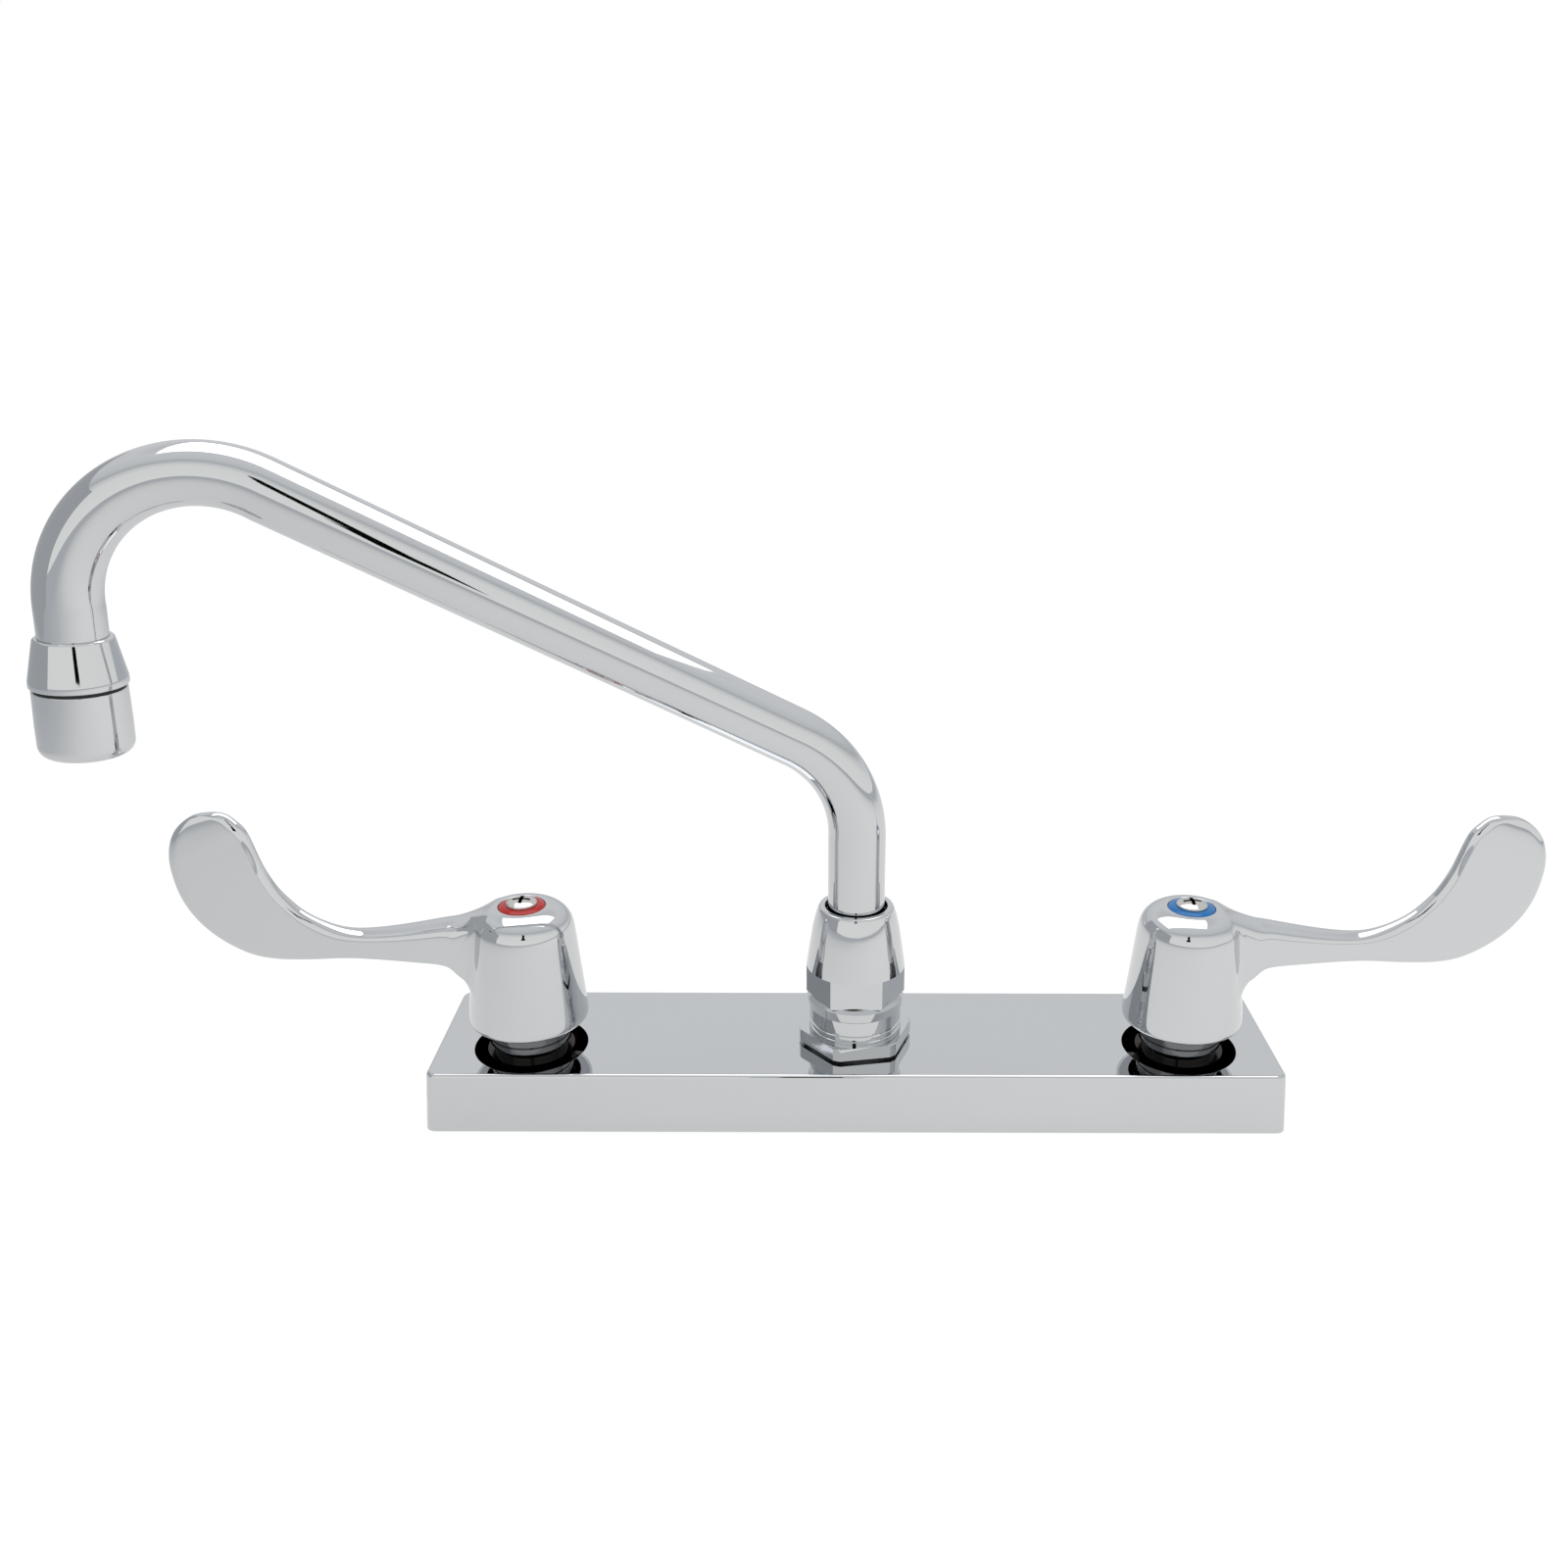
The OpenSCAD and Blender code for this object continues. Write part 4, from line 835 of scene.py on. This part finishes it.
def lever_section(low, high, thickness, upper, lower):
    """Sixteen points round the lever, from its top on: two flat faces and two rounded edges"""
    middle, half = (low + high) / 2, (high - low) / 2
    along = half.normalized()
    quarters = []
    for side, edge in ((1, upper), (-1, lower)):
        edge = min(edge, EDGE_LIMIT_SHARE * half.length)
        quarter = [(side * half.length, 0)]
        for turn in EDGE_TURNS:
            drop = edge * (1 - math.cos(math.radians(turn)))
            quarter.append((side * (half.length - drop), math.sin(math.radians(turn))))
        quarter.append((side * (half.length - EDGE_END_SHARE * edge), 1))
        quarters.append(quarter)
    right = quarters[0] + [(0, 1)] + quarters[1][::-1]
    left = [(a, -b) for a, b in quarters[1][1:] + [(0, 1)] + quarters[0][:0:-1]]
    return [middle + along * a + Vector((0, b * thickness / 2, 0)) for a, b in right + left]


def hub_outline():
    """Points of (radius, level) up the hub's side, over its crown and down its bore and hollow"""
    h = bpy.context.scene.faucet_handle
    foot, crown, corner = h.foot / MM, (h.top + h.crown) / MM, h.shoulder / MM
    side, wide = h.side_radius / MM, h.foot_radius / MM
    bend = crown - corner
    seat, ceiling = crown - h.seat_depth / MM, foot + h.hollow_depth / MM

    def edge(radius, level, steps):
        """The steps that shape one edge"""
        return [(radius + out, level + up) for out, up in steps]

    def taper(level):
        """Radius of the hub's side at a level"""
        return wide + (side - wide) * (level - foot - TAPER_FOOT) / (bend - foot - TAPER_FOOT)

    points = edge(wide, foot, HUB_FOOT)
    points += [(taper(level), level) for level in SIDE_LEVELS]
    for turn in SHOULDER_TURNS:
        out, up = math.cos(math.radians(turn)), math.sin(math.radians(turn))
        points.append((side - corner + corner * out, bend + corner * up))
    points += edge(h.seat / MM, crown, SEAT_RIM) + edge(h.seat / MM, seat, SEAT_FLOOR)
    points += edge(h.bore / MM, seat, BORE_TOP) + edge(h.bore / MM, ceiling, BORE_FOOT)
    return points + edge(h.hollow / MM, ceiling, HOLLOW_TOP) + edge(h.hollow / MM, foot, HOLLOW_RIM)


def open_side(shape):
    """Opens the hub's outer skin towards +X and gives the opening's edges and points, the top point first"""
    h = bpy.context.scene.faucet_handle
    low_skin, high_skin = h.hollow + 0.4 * MM, h.seat + 3 * MM
    opening = []
    for face in shape.faces:
        at = face.calc_center_median()
        # Up to the last side row the skin lies outside the hollow, and above it well outside the seat
        skin = low_skin if at.z < SIDE_LEVELS[-1] * MM else high_skin
        beside = abs(math.atan2(at.y, at.x)) < 2 * math.tau / HUB_COLUMNS
        if at.xy.length > skin and beside and OPENING[0] * MM < at.z < OPENING[1] * MM:
            opening.append(face)
    bmesh.ops.delete(shape, geom=opening, context="FACES")
    loop = [e for e in shape.edges if e.is_boundary]
    rim = list({v for e in loop for v in e.verts})
    middle = (max(v.co.z for v in rim) + min(v.co.z for v in rim)) / 2
    rim.sort(key=lambda v: math.atan2(v.co.y, v.co.z - middle) % math.tau)
    if abs(rim[-1].co.y) < CLOSE and rim[-1].co.z > middle:
        rim.insert(0, rim.pop())
    return loop, rim


def handle_shape():
    """A wrist blade handle along +X: a spun hub cage, opened at one side, with the lever drawn out"""
    shape, _ = outline(hub_outline())
    spin_round(shape, HUB_COLUMNS)
    loop, rim = open_side(shape)
    sections = [((reach, low), (reach, high), thick, LOWER_ROUND) for reach, low, high, thick in LEVER_NECK]
    sections += [((reach, low), (up_reach, high), thick, LOWER_ROUND + (reach - NECK_END) * LOWER_GROWTH)
                 for reach, low, up_reach, high, thick in LEVER_BLADE]
    for (low_x, low_z), (high_x, high_z), thick, lower in sections:
        section = lever_section(Vector((low_x, 0, low_z)) * MM, Vector((high_x, 0, high_z)) * MM, thick * MM,
                                (UPPER_ROUND + UPPER_SHARE * thick) * MM, lower * MM)
        if len(section) != len(rim):
            raise RuntimeError("The hub's opening has %d points and the lever %d" % (len(rim), len(section)))
        made = bmesh.ops.extrude_edge_only(shape, edges=loop)["geom"]
        fresh = {g for g in made if isinstance(g, bmesh.types.BMVert)}
        rim = [next(e.other_vert(v) for e in v.link_edges if e.other_vert(v) in fresh) for v in rim]
        for vert, place in zip(rim, section):
            vert.co = place
        loop = [g for g in made if isinstance(g, bmesh.types.BMEdge)]
    bmesh.ops.contextual_create(shape, geom=loop)
    bmesh.ops.recalc_face_normals(shape, faces=shape.faces[:])
    settle(shape)
    return shape


class MakeHandles(bpy.types.Operator):
    """Shapes both wrist blade handles"""

    bl_idname = "faucet.make_handles"
    bl_label = "Handles"

    def execute(self, context):
        for side in SIDES:
            piece = put(handle_shape(), side + "_blade_handle", side + "_lever",
                        "chrome_plate_cast", side + "_handle", at_valve(side), sharp=180, even=False)
            smooth = piece.modifiers.new("Smooth", "SUBSURF")
            smooth.levels = smooth.render_levels = 2
        return {"FINISHED"}


# Index rings and screws

INDEX_COLOUR = {"hot": "red", "cold": "blue"}
SMALL_SIDES = 96
# The screw's domed head: share of its radius, height above the seat and rounding of each point
SCREW_DOME = ((1, 2.5, 0.35), (0.62, 3.35, 0.9), (0, 3.75, 0))
# The ring reaches this far in under the head, and is level for this much round it
RING_REACH = 0.5
RING_LAND = 0.9
# The cross is cut clear through the top of the head
SLOT_OVERRUN = 4 * MM
# Faces of the cross lie within this share of a slot's half length
CROSS_SHARE = 1.05


class MakeIndexes(bpy.types.Operator):
    """Turns the coloured index rings and the cross slotted screws in them"""

    bl_idname = "faucet.make_indexes"
    bl_label = "Index rings and screws"

    def execute(self, context):
        h = context.scene.faucet_handle
        seat = (h.top + h.crown - h.seat_depth) / MM
        for side, colour in INDEX_COLOUR.items():
            put(self.ring(context, seat), side + "_ring", side + "_lever",
                colour + "_index_plastic", side + "_index_ring", at_valve(side))
            piece = put(self.screw(context, seat), side + "_screw", side + "_lever",
                        "nickel_plated_steel", side + "_handle_screw", at_valve(side))
            # The faces of the cross take the dark finish of the plate's holes, as painted shade in the recess
            piece.data.materials.append(bpy.data.materials["recess_painted_shade"])
            soften(piece, 0.08)
        return {"FINISHED"}

    def ring(self, context, seat):
        """A flat ring that slopes down a little to its outer edge, and reaches in under the screw's head"""
        i = context.scene.faucet_indexes
        inner, slope = i.head / MM - RING_REACH, i.head / MM + RING_LAND
        outer = (context.scene.faucet_handle.seat - i.ring_gap) / MM
        side, top = seat + i.ring_side / MM, seat + i.ring_top / MM
        return turned([(inner, seat, 0), (outer, seat, 0), (outer, side, 0.3), (slope, top, 0.2),
                       (inner, top, 0)], SMALL_SIDES)

    def screw(self, context, seat):
        """A domed screw with a cross cut into its head; the faces of the cross take the second material,
        painted dark as shade in the cross
        """
        i = context.scene.faucet_indexes
        head, shank, end = i.head / MM, i.shank / MM, seat - i.shank_depth / MM
        neck, under, chamfer = seat + 1.2, seat + 1.4, 0.2
        points = [(0, end, 0), (shank, end, 0), (shank, neck, 0), (head - chamfer, under, 0)]
        points += [(share * head, seat + up, rounding) for share, up, rounding in SCREW_DOME]
        reach, half, floor = i.slot_reach, i.slot_half, seat * MM + i.slot_floor
        over = floor + SLOT_OVERRUN
        cross = [box_shape((-reach, -half, floor), (reach, half, over)),
                 box_shape((-half, -reach, floor), (half, reach, over))]
        screw = cut(turned(points, SMALL_SIDES), cross)
        # The cross's faces are found here and painted dark as shade
        for face in screw.faces:
            at = face.calc_center_median()
            walls = [abs(abs(at.x) - half), abs(abs(at.y) - half), abs(abs(at.x) - reach),
                     abs(abs(at.y) - reach), abs(at.z - floor)]
            within = at.z > floor - CLOSE and at.xy.length < CROSS_SHARE * reach
            face.material_index = int(min(walls) < CLOSE and within)
        return screw


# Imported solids


class DressNodes(bpy.types.Operator):
    """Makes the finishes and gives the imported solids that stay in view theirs"""

    bl_idname = "faucet.dress_nodes"
    bl_label = "Packed solids"

    def execute(self, context):
        make_finishes(context.scene.faucet_colours)
        for row in frame["record"]["subparts"]:
            node = frame["nodes"][row["node"]]
            finish = SLOT_FINISH[row["material_slot"]]
            for ending, special in SPECIAL_FINISH.items():
                if row["node"].endswith(ending):
                    finish = special
            material = bpy.data.materials[finish]
            if node.material_slots:
                for slot in node.material_slots:
                    slot.material = material
            else:
                node.data.materials.append(material)
        return {"FINISHED"}


# Stage

# The camera stands where the photograph's did: place, tilt from straight down and roll in degrees
CAMERA_PLACE = (-0.0107, -0.4088, 0.2515)
CAMERA_TILT = 70.06
CAMERA_ROLL = 0.15
# Focal length and sensor in millimetres, and the sideways shift of its frame
LENS_MM = 33.3
SENSOR_MM = 36
LENS_SHIFT = -0.02406

FLOOR_HALF = 6.0
# The floor as the metal mirrors it, a painted pool of light: brightest at this spot, and its tone at each
# distance from it
FLOOR_POOL_SPOT = (0.35, -0.2, 0)
FLOOR_POOL_TONES = ((0.15, "#FFFFFD"), (0.48, "#F5F5F3"), (0.63, "#ECECEB"), (1.0, "#CDCFD1"), (1.3, "#BFC3C7"))
FLOOR_POOL_SPAN = 2.0
# Its glow to the camera, a little past white
FLOOR_WHITE = 1.1
# To the camera and the metal this share of the floor glows, and the rest is paper that takes the shadow
FLOOR_SHARE = 0.8

# The room as the metal mirrors it, from low in front, past a grey band at the back, to the ceiling
ROOM_WAY = (0, 0.45, 1)
ROOM_START = 0.5
ROOM_TONES = ((0.0, "#FFFFFD"), (0.70, "#FAFAF8"), (0.90, "#E4E5E6"), (0.98, "#C9CBCD"), (1.12, "#DFE0E2"),
              (1.38, "#E9EAEC"), (1.52, "#DCDCDE"))
ROOM_SPAN = 1.6

# One overhead softbox: its middle, length, depth and brightness as a surface
SOFTBOX_PLACE = (-0.02, 0.21, 0.68)
SOFTBOX_SIZE = (0.76, 0.54)
SOFTBOX_BRIGHT = 1.55
# What else the metal mirrors: the camera's body, the column over it, and a grey flag far out on the left
CARDS = {
    "camera_body": ((-0.055, -0.46, 0.215), (0.015, -0.44, 0.285), "#060606"),
    "camera_column": ((-0.038, -0.46, 0.285), (0.004, -0.44, 0.50), "#060606"),
    "left_flag": ((-0.93, -0.70, 0.02), (-0.92, 0.90, 0.75), "#B4B7BA"),
}


def set_tones(ramp, span, stops):
    """Spreads tones over a colour ramp that runs from nothing to the span"""
    while len(ramp.elements) < len(stops):
        ramp.elements.new(0.5)
    for element, (at, tone) in zip(ramp.elements, stops):
        element.position, element.color = at / span, linear(tone)


def stage_piece(shape, name):
    """Puts a piece of the studio in the scene, apart from the object"""
    mesh = bpy.data.meshes.new(name)
    shape.to_mesh(mesh)
    shape.free()
    thing = bpy.data.objects.new(name, mesh)
    bpy.context.scene.collection.objects.link(thing)
    return thing


class MakeStage(bpy.types.Operator):
    """Sets the camera, the pale floor, the studio light and the background"""

    bl_idname = "faucet.make_stage"
    bl_label = "Stage"

    def execute(self, context):
        scene = context.scene
        scene.view_settings.view_transform = "Standard"
        self.camera(scene)
        self.floor(scene)
        self.world(scene)
        self.softbox(scene)
        self.cards()
        return {"FINISHED"}

    def camera(self, scene):
        """A camera with the photograph's view"""
        lens = bpy.data.cameras.new("Camera")
        lens.sensor_width, lens.lens, lens.shift_x = SENSOR_MM, LENS_MM, LENS_SHIFT
        lens.clip_start, lens.clip_end = 0.01, 50
        camera = bpy.data.objects.new("Camera", lens)
        scene.collection.objects.link(camera)
        camera.matrix_world = (Matrix.Translation(CAMERA_PLACE)
                               @ Matrix.Rotation(math.radians(CAMERA_TILT), 4, "X")
                               @ Matrix.Rotation(math.radians(CAMERA_ROLL), 4, "Z"))
        scene.camera = camera

    def floor(self, scene):
        """Pale paper: white to the camera but for a soft shadow, and to the metal a painted pool of light
        that greys far away
        """
        shape = bmesh.new()
        bmesh.ops.create_grid(shape, x_segments=1, y_segments=1, size=FLOOR_HALF)
        floor = stage_piece(shape, "studio_floor")
        material = new_material("pale_floor_paper")
        tree = material.node_tree
        paper = add_node(tree, "ShaderNodeBsdfDiffuse", None, {"Color": linear(scene.faucet_colours.floor)})
        # To the metal the floor glows as a painted pool of light, brightest at one spot
        place = add_node(tree, "ShaderNodeTexCoord")
        off = add_node(tree, "ShaderNodeVectorMath", {0: place.outputs["Object"]}, {1: FLOOR_POOL_SPOT},
                       operation="DISTANCE")
        share = add_node(tree, "ShaderNodeMath", {0: off.outputs["Value"]}, {1: FLOOR_POOL_SPAN},
                         operation="DIVIDE")
        ramp = add_node(tree, "ShaderNodeValToRGB", {0: share.outputs[0]})
        set_tones(ramp.color_ramp, FLOOR_POOL_SPAN, FLOOR_POOL_TONES)
        glow = add_node(tree, "ShaderNodeEmission", {"Color": ramp.outputs["Color"]}, {"Strength": 1.0})
        white = add_node(tree, "ShaderNodeEmission", None,
                         {"Color": linear("#FFFFFF"), "Strength": FLOOR_WHITE})
        seen = add_node(tree, "ShaderNodeLightPath")
        bright = add_node(tree, "ShaderNodeMixShader",
                          {0: seen.outputs["Is Camera Ray"], 1: glow.outputs[0], 2: white.outputs[0]})
        both = add_node(tree, "ShaderNodeMath",
                        {0: seen.outputs["Is Camera Ray"], 1: seen.outputs["Is Glossy Ray"]},
                        operation="MAXIMUM")
        shine = add_node(tree, "ShaderNodeMath", {0: both.outputs[0]}, {1: FLOOR_SHARE},
                         operation="MULTIPLY")
        mix = add_node(tree, "ShaderNodeMixShader",
                       {0: shine.outputs[0], 1: paper.outputs[0], 2: bright.outputs[0]})
        add_node(tree, "ShaderNodeOutputMaterial", {"Surface": mix.outputs[0]})
        floor.data.materials.append(material)

    def world(self, scene):
        """White to the camera; to the metal, a pale tent in front, a grey band behind and a light ceiling"""
        world = bpy.data.worlds.new("Studio")
        scene.world = world
        world.use_nodes = True
        tree = world.node_tree
        tree.nodes.clear()
        seen = add_node(tree, "ShaderNodeLightPath")
        white = add_node(tree, "ShaderNodeBackground", None, {"Color": linear("#FFFFFF"), "Strength": 1.0})
        place = add_node(tree, "ShaderNodeTexCoord")
        way = add_node(tree, "ShaderNodeVectorMath", {0: place.outputs["Generated"]}, {1: ROOM_WAY},
                       operation="DOT_PRODUCT")
        up = add_node(tree, "ShaderNodeMath", {0: way.outputs["Value"]}, {1: ROOM_START}, operation="ADD")
        share = add_node(tree, "ShaderNodeMath", {0: up.outputs[0]}, {1: ROOM_SPAN}, operation="DIVIDE")
        ramp = add_node(tree, "ShaderNodeValToRGB", {0: share.outputs[0]})
        set_tones(ramp.color_ramp, ROOM_SPAN, ROOM_TONES)
        room = add_node(tree, "ShaderNodeBackground", {"Color": ramp.outputs["Color"]}, {"Strength": 1.0})
        mix = add_node(tree, "ShaderNodeMixShader",
                       {0: seen.outputs["Is Camera Ray"], 1: room.outputs[0], 2: white.outputs[0]})
        add_node(tree, "ShaderNodeOutputWorld", {"Surface": mix.outputs[0]})

    def softbox(self, scene):
        """One wide softbox overhead, whose power gives its surface the stated brightness"""
        data = bpy.data.lights.new("top softbox", "AREA")
        data.shape = "RECTANGLE"
        data.size, data.size_y = SOFTBOX_SIZE
        data.energy = SOFTBOX_BRIGHT * math.pi * data.size * data.size_y
        lamp = bpy.data.objects.new("top softbox", data)
        scene.collection.objects.link(lamp)
        lamp.location = SOFTBOX_PLACE

    def cards(self):
        """The camera's body and column and the grey flag, which only the metal sees"""
        for name, (low, high, tone) in CARDS.items():
            card = stage_piece(box_shape(low, high), name)
            card.visible_camera = False
            material = new_material(name + "_cloth")
            cloth = add_node(material.node_tree, "ShaderNodeEmission", None, {"Color": linear(tone)})
            add_node(material.node_tree, "ShaderNodeOutputMaterial", {"Surface": cloth.outputs[0]})
            card.data.materials.append(material)


# Panel, registration and the run


class FaucetPanel(bpy.types.Panel):
    """Lists the sizes and the steps"""

    bl_idname = "FAUCET_PT_panel"
    bl_label = "Faucet"
    bl_space_type = "VIEW_3D"
    bl_region_type = "UI"
    bl_category = "Faucet"

    def draw(self, context):
        for name in GROUPS:
            group = getattr(context.scene, name)
            box = self.layout.box()
            for key in group.__annotations__:
                box.prop(group, key)
        for step in STEPS:
            self.layout.operator(step.bl_idname)


GROUPS = {
    "faucet_layout": FaucetLayout,
    "faucet_plate": FaucetPlate,
    "faucet_spout": FaucetSpout,
    "faucet_handle": FaucetHandle,
    "faucet_indexes": FaucetIndexes,
    "faucet_nuts": FaucetNuts,
    "faucet_aerator": FaucetAerator,
    "faucet_colours": FaucetColours,
}
STEPS = (MakeStage, DressNodes, MakePlate, MakeSpout, MakeAerator, MakeNuts, MakeHandles, MakeIndexes)


def register():
    """Registers the groups, the steps and the panel"""
    for name, group in GROUPS.items():
        bpy.utils.register_class(group)
        setattr(bpy.types.Scene, name, PointerProperty(type=group))
    for step in STEPS:
        bpy.utils.register_class(step)
    bpy.utils.register_class(FaucetPanel)


def unregister():
    """Takes the panel, the steps and the groups away again"""
    bpy.utils.unregister_class(FaucetPanel)
    for step in reversed(STEPS):
        bpy.utils.unregister_class(step)
    for name, group in reversed(GROUPS.items()):
        delattr(bpy.types.Scene, name)
        bpy.utils.unregister_class(group)


def main():
    """Builds the whole scene"""
    register()
    for step in STEPS:
        category, call = step.bl_idname.split(".")
        getattr(getattr(bpy.ops, category), call)()


if __name__ == "__main__":
    main()
